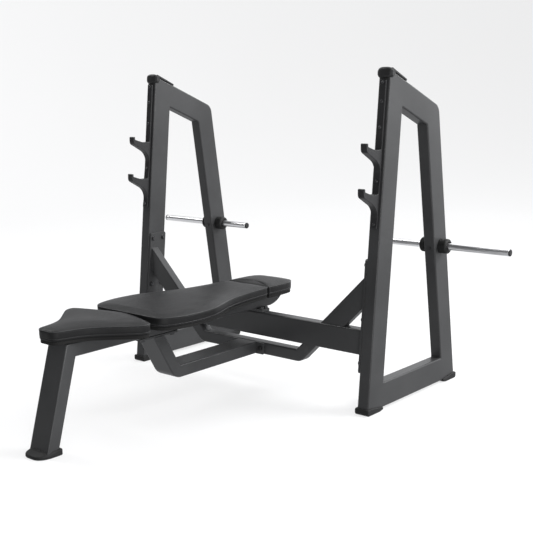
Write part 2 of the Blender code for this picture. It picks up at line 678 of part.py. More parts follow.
def build_brace(side_name, side, parent):
    """The diagonal tube from the cross beam's top up to the end plate."""
    wall = Vector((side * (PLATE_FACE_X - FIT_GAP), BRACE_RISE))
    rise = Vector((side, 1)).normalized()
    middle = wall - Vector((0, BRACE_WIDE / 2 * math.sqrt(2)))
    seat = Vector((0, CROSS_BEAM_TOP + FIT_GAP))
    foot = meet(middle, rise, seat, Vector((1, 0)))
    brace = tube(front_plane, (foot, middle), BRACE_WIDE, BRACE_SLIM, across=BEAM_Y,
                 start_cut=Vector((1, 0)), end_cut=Vector((0, 1)))
    add_object(f"{side_name}_brace", brace, POWDER_COAT, parent)


def build_lower_cross_tube(parent):
    """The dropped tube under the cross beam, with both ends bent up to it."""
    low = LOWER_TUBE_BOTTOM + TUBE_SLIM / 2
    bend_x = LOWER_TUBE_HALF + TUBE_SLIM / 2 * math.tan(math.pi / 8)
    top = CROSS_BEAM_BOTTOM - FIT_GAP
    path = [Vector((-bend_x - top + low, top)), Vector((-bend_x, low)), Vector((bend_x, low)),
            Vector((bend_x + top - low, top))]
    level = Vector((1, 0))
    lower = tube(front_plane, path, TUBE_SLIM, TUBE_SLIM, across=BEAM_Y,
                 bends=(LOWER_BEND, LOWER_BEND), start_cut=level, end_cut=level, steps=4)
    lower = add_object("lower_cross_tube", lower, POWDER_COAT, parent)
    holes = bmesh.new()
    for x, z in spine_bolt_spots():
        add_hole(holes, (x, BEAM_Y - TUBE_SLIM / 2, z), (0, 1, 0), 2 * TUBE_WALL,
                 BOLT + BOLT_CLEAR)
    boolean(lower, "lower_cross_tube_holes", holes)


# --- bench ------------------------------------------------------------------------
def saddle_bolt_spots():
    """Centres (x, y) of the bolts through the saddle plate."""
    return [(side * SADDLE_BOLT_SPREAD / 2, BEAM_Y + row * SADDLE_BOLT_PITCH / 2)
            for side in (-1, 1) for row in (-1, 1)]


def strut_bolt_spots():
    """Centres (x, y) of the bolts through the strut's flange."""
    return [(side * STRUT_BOLT_SPREAD / 2, STRUT_TOP_Y + row * STRUT_BOLT_PITCH / 2)
            for side in (-1, 1) for row in (-1, 1)]


def spine_bolt_spots():
    """Centres (x, z) of the bolts through the lower spine's flange."""
    return [(side * SPINE_BOLT_SPREAD / 2, LOWER_TUBE_BOTTOM + TUBE_SLIM / 2) for side in (-1, 1)]


def pad_mounts():
    """Every pad mount along the bench beam."""
    return (*SEAT_MOUNTS, *BACK_MOUNTS, *HEAD_MOUNTS)


def leg_joint():
    """The mitre line between leg and bench beam: top corner and direction."""
    corner = Vector((LEG_TOP_Y, BENCH_TOP))
    leg_down = Vector((-math.sin(LEG_LEAN), -math.cos(LEG_LEAN)))
    return corner, (Vector((1, 0)) + leg_down).normalized()


def bench_outline(wall):
    """Side view of the bench beam, wall inside its outer faces, its front past the mitre.

    The rear end is an arc that rises from the underside.
    """
    front = LEG_TOP_Y - TUBE_WIDE
    low = Vector((0, BENCH_BOTTOM + wall))
    high = Vector((0, BENCH_TOP - wall))
    sweep = math.acos(1 - TUBE_SLIM / NOSE_RADIUS)
    centre = Vector((NOSE_Y - NOSE_RADIUS * math.sin(sweep), BENCH_BOTTOM + NOSE_RADIUS))
    radius = NOSE_RADIUS - wall
    last = math.acos((centre.y - high.y) / radius)
    arc = []
    for step in range(9):
        angle = last * step / 8
        arc.append(centre + radius * Vector((math.sin(angle), -math.cos(angle))))
    return [Vector((front, high.y)), Vector((front, low.y)), *arc]


def build_bench_beam(parent):
    """The spine under the pads, hollow, open at the leg and closed by its curved nose."""
    half = TUBE_WIDE / 2
    beam = slab(bench_outline(0.0), side_plane, -half, half, TUBE_CORNER, TUBE_CORNER, steps=2)
    beam = add_object("bench_beam", beam, POWDER_COAT, parent)
    inside = slab(bench_outline(TUBE_WALL), side_plane, TUBE_WALL - half, half - TUBE_WALL,
                  TUBE_CORNER - TUBE_WALL, TUBE_CORNER - TUBE_WALL, steps=2)
    boolean(beam, "bench_beam_inside", inside)
    corner, mitre = leg_joint()
    corner = corner + Vector((FIT_GAP, 0))
    high, low = corner - mitre * TUBE_SLIM, corner + mitre * 3 * TUBE_SLIM
    ahead = Vector((3 * TUBE_WIDE, 0))
    boolean(beam, "bench_beam_mitre", slab([high, low, low - ahead, high - ahead], side_plane,
                                           -TUBE_WIDE, TUBE_WIDE))
    holes = bmesh.new()
    for _, y, _ in pad_mounts():
        add_hole(holes, (0, y, BENCH_BOTTOM + TUBE_SLIM / 2), (0, 0, 1), TUBE_SLIM,
                 BOLT + BOLT_CLEAR)
    for x, y in strut_bolt_spots():
        add_hole(holes, (x, y, BENCH_BOTTOM), (0, 0, 1), 2 * TUBE_WALL, BOLT + BOLT_CLEAR)
    boolean(beam, "bench_beam_holes", holes)


def boot_plan(tip, heel, shrink):
    """Plan outline of the leg's boot: a rounded tip, straight sides and a square heel."""
    half = TUBE_WIDE / 2 + LEG_BOOT_WALL - shrink
    start = tip + 0.058
    outline = []
    for step in range(13):
        angle = math.pi * (1 + step / 12)
        across, along = math.cos(angle), math.sin(angle)
        outline.append(Vector((half * math.copysign(abs(across) ** 0.6, across),
                               start - (start - tip) * abs(along))))
    heel = heel - shrink
    return [*outline, Vector((half, heel - 0.006)), Vector((half - 0.006, heel)),
            Vector((0.006 - half, heel)), Vector((-half, heel - 0.006))]


def build_front_leg(parent):
    """The single leg at the foot end, mitred to the bench beam, and its boot."""
    corner, mitre = leg_joint()
    down = Vector((-math.sin(LEG_LEAN), -math.cos(LEG_LEAN)))
    top = meet(corner + left_of(down) * TUBE_SLIM / 2, down, corner, mitre)
    bottom = meet(top, down, Vector((0, SOLE)), Vector((1, 0)))
    leg = tube(side_plane, (top, bottom), TUBE_SLIM, TUBE_WIDE, start_cut=mitre,
               end_cut=Vector((1, 0)), trim=(FIT_GAP, 0.0))
    add_object("front_leg", leg, POWDER_COAT, parent)

    front = bottom.x - TUBE_SLIM / math.cos(LEG_LEAN) / 2
    toe = front - SOLE * math.tan(LEG_LEAN) - TOE_REACH
    heel = front + TUBE_SLIM / math.cos(LEG_LEAN) + LEG_BOOT_WALL + 0.008
    levels = ((0.0, toe + 0.003, 0.003), (0.003, toe, 0.0), (SOLE + 0.002, toe, 0.0),
              (LEG_BOOT_HEIGHT - 0.003, front - 0.009, 0.0), (LEG_BOOT_HEIGHT, front - 0.006, 0.003))
    rings = [[top_plane(point, height) for point in boot_plan(tip, heel, shrink)]
             for height, tip, shrink in levels]
    boot = add_object("front_leg_boot", loft(bmesh.new(), rings), RUBBER, parent)
    grown = TUBE_SLIM / 2 + FIT_GAP
    side = left_of(down)
    pocket = [bottom + side * grown, bottom - side * grown]
    pocket = [meet(spot, down, Vector((0, SOLE - FIT_GAP)), Vector((1, 0))) for spot in pocket]
    pocket += [top - side * grown, top + side * grown]
    boolean(boot, "front_leg_boot_pocket",
            slab(pocket, side_plane, -TUBE_WIDE / 2 - FIT_GAP, TUBE_WIDE / 2 + FIT_GAP))


def build_strut(parent):
    """The slanted strut under the bench and the lower spine that runs back from it."""
    down = Vector((math.sin(STRUT_LEAN), -math.cos(STRUT_LEAN)))
    top = Vector((STRUT_TOP_Y, BENCH_BOTTOM - 2 * FIT_GAP - FLANGE))
    low = Vector((0, LOWER_TUBE_BOTTOM + TUBE_SLIM / 2))
    level = Vector((1, 0))
    corner = meet(top, down, low, level)
    end = Vector((BEAM_Y - TUBE_SLIM / 2 - FLANGE - 2 * FIT_GAP, low.y))
    common = dict(width=TUBE_SLIM, depth=TUBE_WIDE, bends=(STRUT_BEND,), start_cut=level, steps=6)
    mitre = FIT_GAP / 2
    strut = tube(side_plane, (top, corner, end), keep=(0, 5), trim=(0.0, mitre), **common)
    add_object("strut", strut, POWDER_COAT, parent)
    spine = tube(side_plane, (top, corner, end), keep=(4, None), trim=(mitre, 0.0), **common)
    add_object("lower_spine", spine, POWDER_COAT, parent)


def build_flange(name, plane, sizes, centre, low, bolts, parent):
    """A flange, the bolts through it and the tapped bar that they hold to.

    sizes are the flange's half width, half length and thickness. bolts holds the spots
    in the plane, the way the heads point along the plane's normal, and the bar's sizes.
    """
    half_width, half_length, thickness = sizes
    spots, way, bar_half_width, bar_half_length = bolts
    axis = (plane(Vector((0, 0)), 1.0) * way).normalized()
    corners = [(side_x * half_width, centre + side * half_length, 0.008)
               for side_x, side in ((-1, -1), (1, -1), (1, 1), (-1, 1))]
    flange = slab(round_outline(corners, steps=3), plane, low, low + thickness)
    flange = add_object(name, flange, POWDER_COAT, parent)
    face = low + thickness if way > 0 else low
    other = low if way > 0 else low + thickness
    bar_ends = sorted(other - way * (TUBE_WALL + 2 * FIT_GAP + reach) for reach in (0, NUT_BAR))
    outline = [Vector((side_x * bar_half_width, centre + side * bar_half_length))
               for side_x, side in ((-1, -1), (1, -1), (1, 1), (-1, 1))]
    bar = add_object(f"{name}_bolts", slab(outline, plane, *bar_ends), BLACK_STEEL, parent)
    holes, shanks = bmesh.new(), bmesh.new()
    for spot in spots:
        add_hole(holes, plane(Vector(spot), low), axis, 2 * SADDLE_PLATE, BOLT + BOLT_CLEAR)
        add_bolt(shanks, plane(Vector(spot), face), axis, thickness + TUBE_WALL + NUT_BAR + 0.003)
    boolean(flange, f"{name}_holes", holes)
    boolean(bar, f"{name}_bolts_threaded", shanks, operation="UNION")


def build_flanges(parent):
    """The three flanges that hold the bench to the frame, with their bolts."""
    build_flange("saddle_plate", top_plane, (SADDLE_LENGTH / 2, TUBE_SLIM / 2, SADDLE_PLATE),
                 BEAM_Y, CROSS_BEAM_TOP + FIT_GAP, (saddle_bolt_spots(), 1, 0.078, 0.017), parent)
    build_flange("strut_flange", top_plane, (TUBE_WIDE / 2, STRUT_FLANGE_LENGTH / 2, FLANGE),
                 STRUT_TOP_Y, BENCH_BOTTOM - FIT_GAP - FLANGE,
                 (strut_bolt_spots(), -1, 0.042, 0.086), parent)
    build_flange("spine_flange", front_plane, (SPINE_FLANGE_LENGTH / 2, TUBE_SLIM / 2, FLANGE),
                 LOWER_TUBE_BOTTOM + TUBE_SLIM / 2, BEAM_Y - TUBE_SLIM / 2 - FIT_GAP - FLANGE,
                 (spine_bolt_spots(), -1, 0.084, 0.016), parent)


# --- pads -------------------------------------------------------------------------
def seat_half():
    """Half outline of the seat pad: a narrow nose that flares to a wide rear."""
    front = SEAT_FRONT_Y
    rear = front + SEAT_LENGTH
    return ((0.0, front), (0.030, front + 0.002), (0.050, front + 0.022), (0.064, front + 0.074),
            (0.090, front + 0.130), (0.145, front + 0.190), (0.198, front + 0.246),
            (0.211, rear - 0.074), (0.203, rear - 0.056), (0.165, rear - 0.041),
            (0.085, rear - 0.016), (0.0, rear))


def back_half():
    """Half outline of the back pad: wide at the shoulders' foot end, waisted behind."""
    front = BACK_FRONT_Y
    rear = front + BACK_LENGTH
    return ((0.0, front), (0.132, front), (0.170, front + 0.010), (0.197, front + 0.046),
            (0.213, front + 0.108), (0.217, front + 0.180), (0.208, front + 0.260),
            (0.178, front + 0.340), (0.148, front + 0.425), (0.129, front + 0.530),
            (0.120, rear - 0.050), (0.116, rear - 0.012), (0.106, rear), (0.0, rear))


def head_half():
    """Half outline of the head pad, with a rounded rear."""
    front = HEAD_FRONT_Y
    rear = HEAD_REAR_Y
    return ((0.0, front), (0.104, front), (0.115, front + 0.011), (0.117, front + 0.050),
            (0.114, rear - 0.070), (0.106, rear - 0.036), (0.086, rear - 0.012),
            (0.050, rear - 0.003), (0.0, rear))


def build_pad(name, half, mounts, parent):
    """An upholstered cushion on its board, and the straps and bolts that hold it down."""
    outline = anticlockwise(smooth_outline(half))
    cushion = slab(outline, top_plane, CUSHION_BOTTOM, CUSHION_TOP, 0.003, CUSHION_EDGE, steps=2)
    add_object(f"{name}_pad", cushion, UPHOLSTERY, parent)
    board = slab(inset(outline, BOARD_INSET), top_plane, BOARD_BOTTOM, BOARD_BOTTOM + BOARD)
    board = add_object(f"{name}_board", board, PLYWOOD, parent)
    holes = bmesh.new()
    for place, y, reach in mounts:
        add_hole(holes, (0, y, BOARD_BOTTOM), (0, 0, 1), BOARD - 0.001, BOLT + BOLT_CLEAR)
        corners = [Vector((side_x * reach, y + side * STRAP_WIDTH / 2))
                   for side_x, side in ((-1, -1), (1, -1), (1, 1), (-1, 1))]
        strap = slab(corners, top_plane, STRAP_BOTTOM, STRAP_BOTTOM + STRAP)
        strap = add_object(f"{place}_strap", strap, POWDER_COAT, parent)
        bolt = add_bolt(bmesh.new(), (0, y, BENCH_BOTTOM), (0, 0, -1), TUBE_SLIM + STRAP + 0.009)
        boolean(strap, f"{place}_strap_bolt", bolt, operation="UNION")
    boolean(board, f"{name}_board_holes", holes)


# --- plate pegs -------------------------------------------------------------------
def build_peg(side_name, side, parent):
    """The chrome rod through a rear post, with a rubber collar on each face."""
    y, z = rear_post_middle(PEG_HEIGHT), PEG_HEIGHT
    outer = PEG_DIAMETER / 2
    bore = outer - PEG_WALL
    tips = (-TUBE_SLIM / 2 - PEG_INWARD + PLUG_HEAD, TUBE_SLIM / 2 + PEG_OUTWARD - PLUG_HEAD)
    section = ((tips[0], bore), (tips[0], outer), (tips[1], outer), (tips[1], bore))
    rod = turned(section, (0, y, z), (side, 0, 0))
    add_object(f"{side_name}_peg", rod, CHROME, parent)

    rim = COLLAR_DIAMETER / 2
    hug = outer + FIT_GAP
    start = TUBE_SLIM / 2 + FIT_GAP
    end = start + COLLAR_LENGTH
    collar = ((start, hug), (start, rim - 0.002), (start + 0.002, rim), (end - 0.007, rim),
              (end - 0.002, rim - 0.003), (end, rim - 0.008), (end, rim - 0.012),
              (end - 0.004, rim - 0.013), (end - 0.004, hug))
    for place, way in (("outer", side), ("inner", -side)):
        add_object(f"{side_name}_{place}_collar", turned(collar, (0, y, z), (way, 0, 0)), RUBBER,
                   parent)


def lock_screw_axis():
    """The way the lock screw's head points, square to the rear post's front face."""
    return Vector((0, -math.cos(REAR_LEAN), -math.sin(REAR_LEAN)))


def build_peg_trim(side_name, side, parent):
    """The end plugs of a rod and the screw that locks it in its post."""
    y, z = rear_post_middle(PEG_HEIGHT), PEG_HEIGHT
    head = PEG_DIAMETER / 2
    stub = head - PEG_WALL - FIT_GAP
    levels = ((-PLUG_HEAD - 0.015, stub), (FIT_GAP - PLUG_HEAD, stub),
              (FIT_GAP - PLUG_HEAD, head), (-0.002, head), (0.0, head - 0.003))
    for place, way, reach in (("outer", side, PEG_OUTWARD), ("inner", -side, PEG_INWARD)):
        face = way * (TUBE_SLIM / 2 + reach)
        plug = stack(bmesh.new(), (face, y, z), (way, 0, 0), levels, 16)
        add_object(f"{side_name}_{place}_peg_plug", plug, PLASTIC, parent)
    seat = Vector((0, y, z)) + lock_screw_axis() * (TUBE_WIDE / 2 + FIT_GAP)
    screw = add_bolt(bmesh.new(), seat, lock_screw_axis(), TUBE_WIDE / 2 - head - 0.002, SCREW,
                     SCREW_HEAD, 2 * SCREW_HEAD_HEIGHT)
    add_object(f"{side_name}_lock_screw", screw, BLACK_STEEL, parent)


def build_bench_press():
    """Everything, grouped under empties."""
    clear_scene()
    whole = group("bench_press")
    frames = group("frames", parent=whole)
    for side_name, side in (("left", -1), ("right", 1)):
        frame = group(f"{side_name}_frame", x=side * FRAME_X, parent=frames)
        build_side_frame(side_name, side, frame)
        build_hook_column(side_name, frame)
        build_top_cap(side_name, frame)
        build_frame_boot(f"{side_name}_front_boot", -1, frame)
        build_frame_boot(f"{side_name}_rear_boot", 1, frame)
        build_peg(side_name, side, frame)
        build_peg_trim(side_name, side, frame)
        build_end_plate(side_name, side, frames)
        build_brace(side_name, side, frames)
    build_cross_beam(frames)
    build_lower_cross_tube(frames)
    bench = group("bench", parent=whole)
    build_bench_beam(bench)
    build_front_leg(bench)
    build_strut(bench)
    build_flanges(bench)
    build_pad("seat", seat_half(), SEAT_MOUNTS, bench)
    build_pad("back", back_half(), BACK_MOUNTS, bench)
    build_pad("head", head_half(), HEAD_MOUNTS, bench)


build_bench_press()
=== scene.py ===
"""Looks of the olympic bench press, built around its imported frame.

Each sub-assembly is a class. It takes its places from the boxes of the CAD nodes, builds
finer meshes for them, dresses them in procedural finishes and hands them to the frame.
"""
from __future__ import annotations

import logging
import math
from dataclasses import dataclass
from enum import Enum
from typing import Callable, Iterable, Sequence

import bmesh
import bpy
import numpy as np
from mathutils import Matrix, Vector

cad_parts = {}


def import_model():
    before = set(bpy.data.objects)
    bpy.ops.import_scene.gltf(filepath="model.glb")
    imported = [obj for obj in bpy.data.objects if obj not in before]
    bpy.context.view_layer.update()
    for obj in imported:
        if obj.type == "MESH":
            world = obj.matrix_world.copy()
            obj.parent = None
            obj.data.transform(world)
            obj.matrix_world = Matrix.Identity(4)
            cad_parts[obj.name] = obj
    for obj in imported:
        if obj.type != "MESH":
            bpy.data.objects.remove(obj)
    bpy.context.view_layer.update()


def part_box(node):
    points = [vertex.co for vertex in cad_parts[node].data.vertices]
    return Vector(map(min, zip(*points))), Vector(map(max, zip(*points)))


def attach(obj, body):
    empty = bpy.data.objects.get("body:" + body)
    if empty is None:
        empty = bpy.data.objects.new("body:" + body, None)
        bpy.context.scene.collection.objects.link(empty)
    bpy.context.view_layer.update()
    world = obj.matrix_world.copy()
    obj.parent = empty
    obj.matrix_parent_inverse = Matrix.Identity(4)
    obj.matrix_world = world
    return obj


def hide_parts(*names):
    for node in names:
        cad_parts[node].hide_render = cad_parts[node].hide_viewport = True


LOG = logging.getLogger("bench_press")
BODY = "root"
SIDES = {"left": -1, "right": 1}
GAP = 0.0003
SHARP_ANGLE = math.radians(40.0)
FLAT_WEIGHT = 90

Outline = list[Vector]
Plane = Callable[[Vector, float], Vector]


class Slot(Enum):
    """Material slots of the record; each finish keeps the one it stands for."""

    POWDER_COAT = "powder_coat"
    HOOK_COAT = "hook_coat"
    UPHOLSTERY = "upholstery"
    PLYWOOD = "plywood"
    CHROME = "chrome"
    RUBBER = "black_rubber"
    PLASTIC = "black_plastic"
    STEEL = "black_steel"


# --- shader expressions -----------------------------------------------------------
class Wire:
    """A number from a shader socket that takes part in Python arithmetic."""

    def __init__(self, recipe: "Recipe", socket: bpy.types.NodeSocket) -> None:
        """Keep the recipe that owns the socket.

        Args:
            recipe: The material recipe that new nodes are added to.
            socket: The output socket that carries the number.
        """
        self.recipe = recipe
        self.socket = socket

    def _maths(self, operation: str, *values: "Wire | float", clamp: bool = False) -> "Wire":
        """The result of a Math node on the values, held between 0 and 1 if clamped."""
        settings = {"operation": operation, "use_clamp": clamp}
        return self.recipe.node("ShaderNodeMath", settings, dict(enumerate(values)))

    def __add__(self, other: "Wire | float") -> "Wire":
        """Sum."""
        return self._maths("ADD", self, other)

    __radd__ = __add__

    def __sub__(self, other: "Wire | float") -> "Wire":
        """Difference."""
        return self._maths("SUBTRACT", self, other)

    def __rsub__(self, other: "Wire | float") -> "Wire":
        """Difference from a number."""
        return self._maths("SUBTRACT", other, self)

    def __mul__(self, other: "Wire | float") -> "Wire":
        """Product."""
        return self._maths("MULTIPLY", self, other)

    __rmul__ = __mul__

    def clamped(self) -> "Wire":
        """The value held between 0 and 1."""
        return self._maths("ADD", self, 0.0, clamp=True)

    def between(self, low: float, high: float) -> "Wire":
        """A smooth step from 0 at low to 1 at high."""
        settings = {"interpolation_type": "SMOOTHSTEP"}
        return self.recipe.node("ShaderNodeMapRange", settings, {0: self, 1: low, 2: high})


class Recipe:
    """A node material, or a world, under construction."""

    def __init__(self, owner: bpy.types.Material | bpy.types.World,
                 space: str = "Object") -> None:
        """Start an empty node tree.

        Args:
            owner: The material or world that gets the nodes.
            space: The coordinates that its patterns live in.
        """
        self.owner = owner
        owner.use_nodes = True
        self.tree = owner.node_tree
        self.tree.nodes.clear()
        self.place = self.node("ShaderNodeTexCoord", output=space)

    @classmethod
    def named(cls, name: str) -> "Recipe":
        """Start a new material of that name."""
        return cls(bpy.data.materials.new(name))

    def node(self, kind: str, settings: dict | None = None, inputs: dict | None = None,
             output: int | str = 0) -> Wire:
        """Add one node of any type.

        Args:
            kind: The node's type.
            settings: Its properties, set before its sockets.
            inputs: Values or wires for its sockets, by index or name.
            output: The output socket that is wanted.

        Returns:
            The chosen output.
        """
        made = self.tree.nodes.new(kind)
        for key, value in (settings or {}).items():
            setattr(made, key, value)
        for key, value in (inputs or {}).items():
            if isinstance(value, Wire):
                self.tree.links.new(value.socket, made.inputs[key])
            else:
                made.inputs[key].default_value = value
        return Wire(self, made.outputs[output])

    def noise(self, scale: float, detail: float = 3.0, roughness: float = 0.5,
              stretch: Sequence[float] = (1.0, 1.0, 1.0)) -> Wire:
        """Noise around 0.5, in features per metre, with the space stretched first."""
        space = self.node("ShaderNodeVectorMath", {"operation": "MULTIPLY"},
                          {0: self.place, 1: tuple(stretch)})
        return self.node("ShaderNodeTexNoise", None, {"Vector": space, "Scale": scale,
                                                      "Detail": detail, "Roughness": roughness})

    def cells(self, scale: float) -> Wire:
        """Distance to the nearest of so many cell centres per metre, for grain and pebbling."""
        inputs = {"Vector": self.place, "Scale": scale, "Randomness": 1.0}
        return self.node("ShaderNodeTexVoronoi", {"feature": "F1"}, inputs, "Distance")

    def blend(self, under: Wire | tuple, colour: tuple, factor: Wire) -> Wire:
        """Lay a colour over another.

        Args:
            under: The colour where the factor is 0.
            colour: The colour where it is 1.
            factor: How much of the second colour shows.

        Returns:
            The mixed colour.
        """
        below = under if isinstance(under, Wire) else (*under, 1.0)
        inputs = {"Factor": factor.clamped(), 6: below, 7: (*colour, 1.0)}
        return self.node("ShaderNodeMix", {"data_type": "RGBA"}, inputs, 2)

    def bump(self, height: Wire, depth: float, normal: Wire | None = None) -> Wire:
        """Turn a height into a normal.

        Args:
            height: The height, about 0 to 1.
            depth: The metres that a height of 1 stands for.
            normal: A normal to start from.

        Returns:
            The bumped normal.
        """
        inputs = {"Height": height, "Strength": 1.0, "Distance": depth}
        if normal is not None:
            inputs["Normal"] = normal
        return self.node("ShaderNodeBump", None, inputs)

    def close(self, base: Wire, roughness: Wire, normal: Wire, **fixed: float | tuple
              ) -> bpy.types.Material:
        """Finish the material with a Principled shader.

        Args:
            base: Base colour.
            roughness: Roughness.
            normal: Bumped normal.
            fixed: Values for sockets that are even over the whole surface.

        Returns:
            The material.
        """
        inputs = {"Base Color": base, "Roughness": roughness.clamped(), "Normal": normal}
        inputs.update({key.replace("_", " "): value for key, value in fixed.items()})
        shader = self.node("ShaderNodeBsdfPrincipled", None, inputs)
        self.output("ShaderNodeOutputMaterial", shader)
        return self.owner

    def output(self, kind: str, shader: Wire) -> None:
        """Wire a surface shader to an output node of that type."""
        made = self.tree.nodes.new(kind)
        self.tree.links.new(shader.socket, made.inputs["Surface"])

    def facing(self, way: Sequence[float]) -> Wire:
        """The cosine between the space's vector and a direction."""
        inputs = {0: self.place, 1: tuple(Vector(way).normalized())}
        return self.node("ShaderNodeVectorMath", {"operation": "DOT_PRODUCT"}, inputs, "Value")


# --- finishes ---------------------------------------------------------------------
@dataclass(frozen=True)
class PowderCoat:
    """Satin powder coat over steel, with orange peel, mottling and faint rubs."""

    name: str
    colour: tuple[float, float, float]
    rub: tuple[float, float, float]
    roughness: float = 0.36
    peel_per_metre: float = 420.0
    peel_depth: float = 0.00016
    shine: float = 0.34

    def material(self) -> bpy.types.Material:
        """Build the material."""
        recipe = Recipe.named(self.name)
        cloud = recipe.noise(3.2, 4.0, 0.55)
        speckle = recipe.noise(1500.0, 2.0, 0.6)
        rubs = recipe.noise(26.0, 6.0, 0.62, (1.0, 1.0, 0.35)).between(0.62, 0.80)
        dark = tuple(channel * 0.80 for channel in self.colour)
        light = tuple(channel * 1.22 for channel in self.colour)
        base = recipe.blend(dark, light, cloud.between(0.30, 0.70) * 0.8 + speckle * 0.2)
        base = recipe.blend(base, self.rub, rubs * 0.35)
        roughness = self.roughness + (cloud - 0.5) * 0.16 + rubs * 0.10 + (speckle - 0.5) * 0.08
        peel = recipe.noise(self.peel_per_metre, 2.0, 0.45)
        normal = recipe.bump(peel + speckle * 0.25, self.peel_depth)
        return recipe.close(base, roughness, normal, Specular_IOR_Level=self.shine)


@dataclass(frozen=True)
class Vinyl:
    """Grained upholstery vinyl with soft creases, hand-worn patches and painted shade in the grain's
    hollows.
    """

    name: str
    colour: tuple[float, float, float]
    worn: tuple[float, float, float]
    roughness: float = 0.42
    grain_per_metre: float = 640.0
    grain_depth: float = 0.00016
    shine: float = 0.19

    def material(self) -> bpy.types.Material:
        """Build the material."""
        recipe = Recipe.named(self.name)
        grain = recipe.cells(self.grain_per_metre)
        fine = recipe.noise(2200.0, 2.0, 0.5)
        creases = recipe.noise(34.0, 5.0, 0.6, (1.0, 0.45, 1.0))
        worn = recipe.noise(5.5, 4.0, 0.5).between(0.42, 0.75)
        base = recipe.blend(self.colour, self.worn, worn * 0.7 + fine * 0.15)
        # A shaded copy of the colour where the grain's bump sinks: painted shade in the grain's
        # hollows.
        base = recipe.blend(base, tuple(c * 0.45 for c in self.colour), grain.between(0.62, 0.9))
        roughness = self.roughness + (grain - 0.4) * 0.14 - worn * 0.07 + (fine - 0.5) * 0.08
        broad = recipe.bump(creases, 0.0009)
        normal = recipe.bump(1.0 - grain + fine * 0.2, self.grain_depth, broad)
        return recipe.close(base, roughness, normal, Specular_IOR_Level=self.shine)


@dataclass(frozen=True)
class Moulded:
    """Moulded rubber or plastic: an even skin with fine pebbling, dust and scuffs."""

    name: str
    colour: tuple[float, float, float]
    dust: tuple[float, float, float]
    roughness: float = 0.62
    pebbles_per_metre: float = 900.0
    pebble_depth: float = 0.00014
    shine: float = 0.28

    def material(self) -> bpy.types.Material:
        """Build the material."""
        recipe = Recipe.named(self.name)
        pebbles = recipe.cells(self.pebbles_per_metre)
        cloud = recipe.noise(14.0, 5.0, 0.6)
        dust = recipe.noise(60.0, 6.0, 0.7).between(0.52, 0.80)
        base = recipe.blend(self.colour, tuple(c * 1.5 for c in self.colour), cloud)
        base = recipe.blend(base, self.dust, dust * 0.28)
        roughness = self.roughness + (cloud - 0.5) * 0.2 + dust * 0.15
        normal = recipe.bump(pebbles, self.pebble_depth)
        return recipe.close(base, roughness, normal, Specular_IOR_Level=self.shine)


@dataclass(frozen=True)
class Metal:
    """Bare or plated metal with drawn lines, haze and finger marks."""

    name: str
    colour: tuple[float, float, float]
    dulled: tuple[float, float, float]
    roughness: float
    metallic: float = 1.0
    line_depth: float = 0.00002

    def material(self) -> bpy.types.Material:
        """Build the material."""
        recipe = Recipe.named(self.name)
        lines = recipe.noise(90.0, 4.0, 0.6, (0.3, 22.0, 22.0))
        haze = recipe.noise(18.0, 5.0, 0.55)
        marks = recipe.noise(70.0, 5.0, 0.65).between(0.55, 0.75)
        base = recipe.blend(self.colour, self.dulled, haze.between(0.35, 0.75) * 0.6 + marks * 0.3)
        roughness = self.roughness + haze * 0.08 + marks * 0.12 + (lines - 0.5) * 0.05
        normal = recipe.bump(lines, self.line_depth)
        return recipe.close(base, roughness, normal, Metallic=self.metallic)


@dataclass(frozen=True)
class StainedBoard:
    """Black-stained plywood with its plies and grain."""

    name: str
    colour: tuple[float, float, float]
    ply: tuple[float, float, float]

    def material(self) -> bpy.types.Material:
        """Build the material."""
        recipe = Recipe.named(self.name)
        grain = recipe.noise(30.0, 6.0, 0.65, (6.0, 0.6, 40.0))
        blotches = recipe.noise(9.0, 4.0, 0.5)
        base = recipe.blend(self.colour, self.ply, grain * 0.5 + blotches * 0.35)
        normal = recipe.bump(grain, 0.0003)
        return recipe.close(base, 0.72 + (grain - 0.5) * 0.25, normal, Specular_IOR_Level=0.2)


class Finish:
    """A built material and the record's slot that it stands for."""

    def __init__(self, look: PowderCoat | Vinyl | Moulded | Metal | StainedBoard,
                 slot: Slot) -> None:
        """Build the material.

        Args:
            look: How the surface looks.
            slot: The record's material slot.
        """
        self.material = look.material()
        self.slot = slot


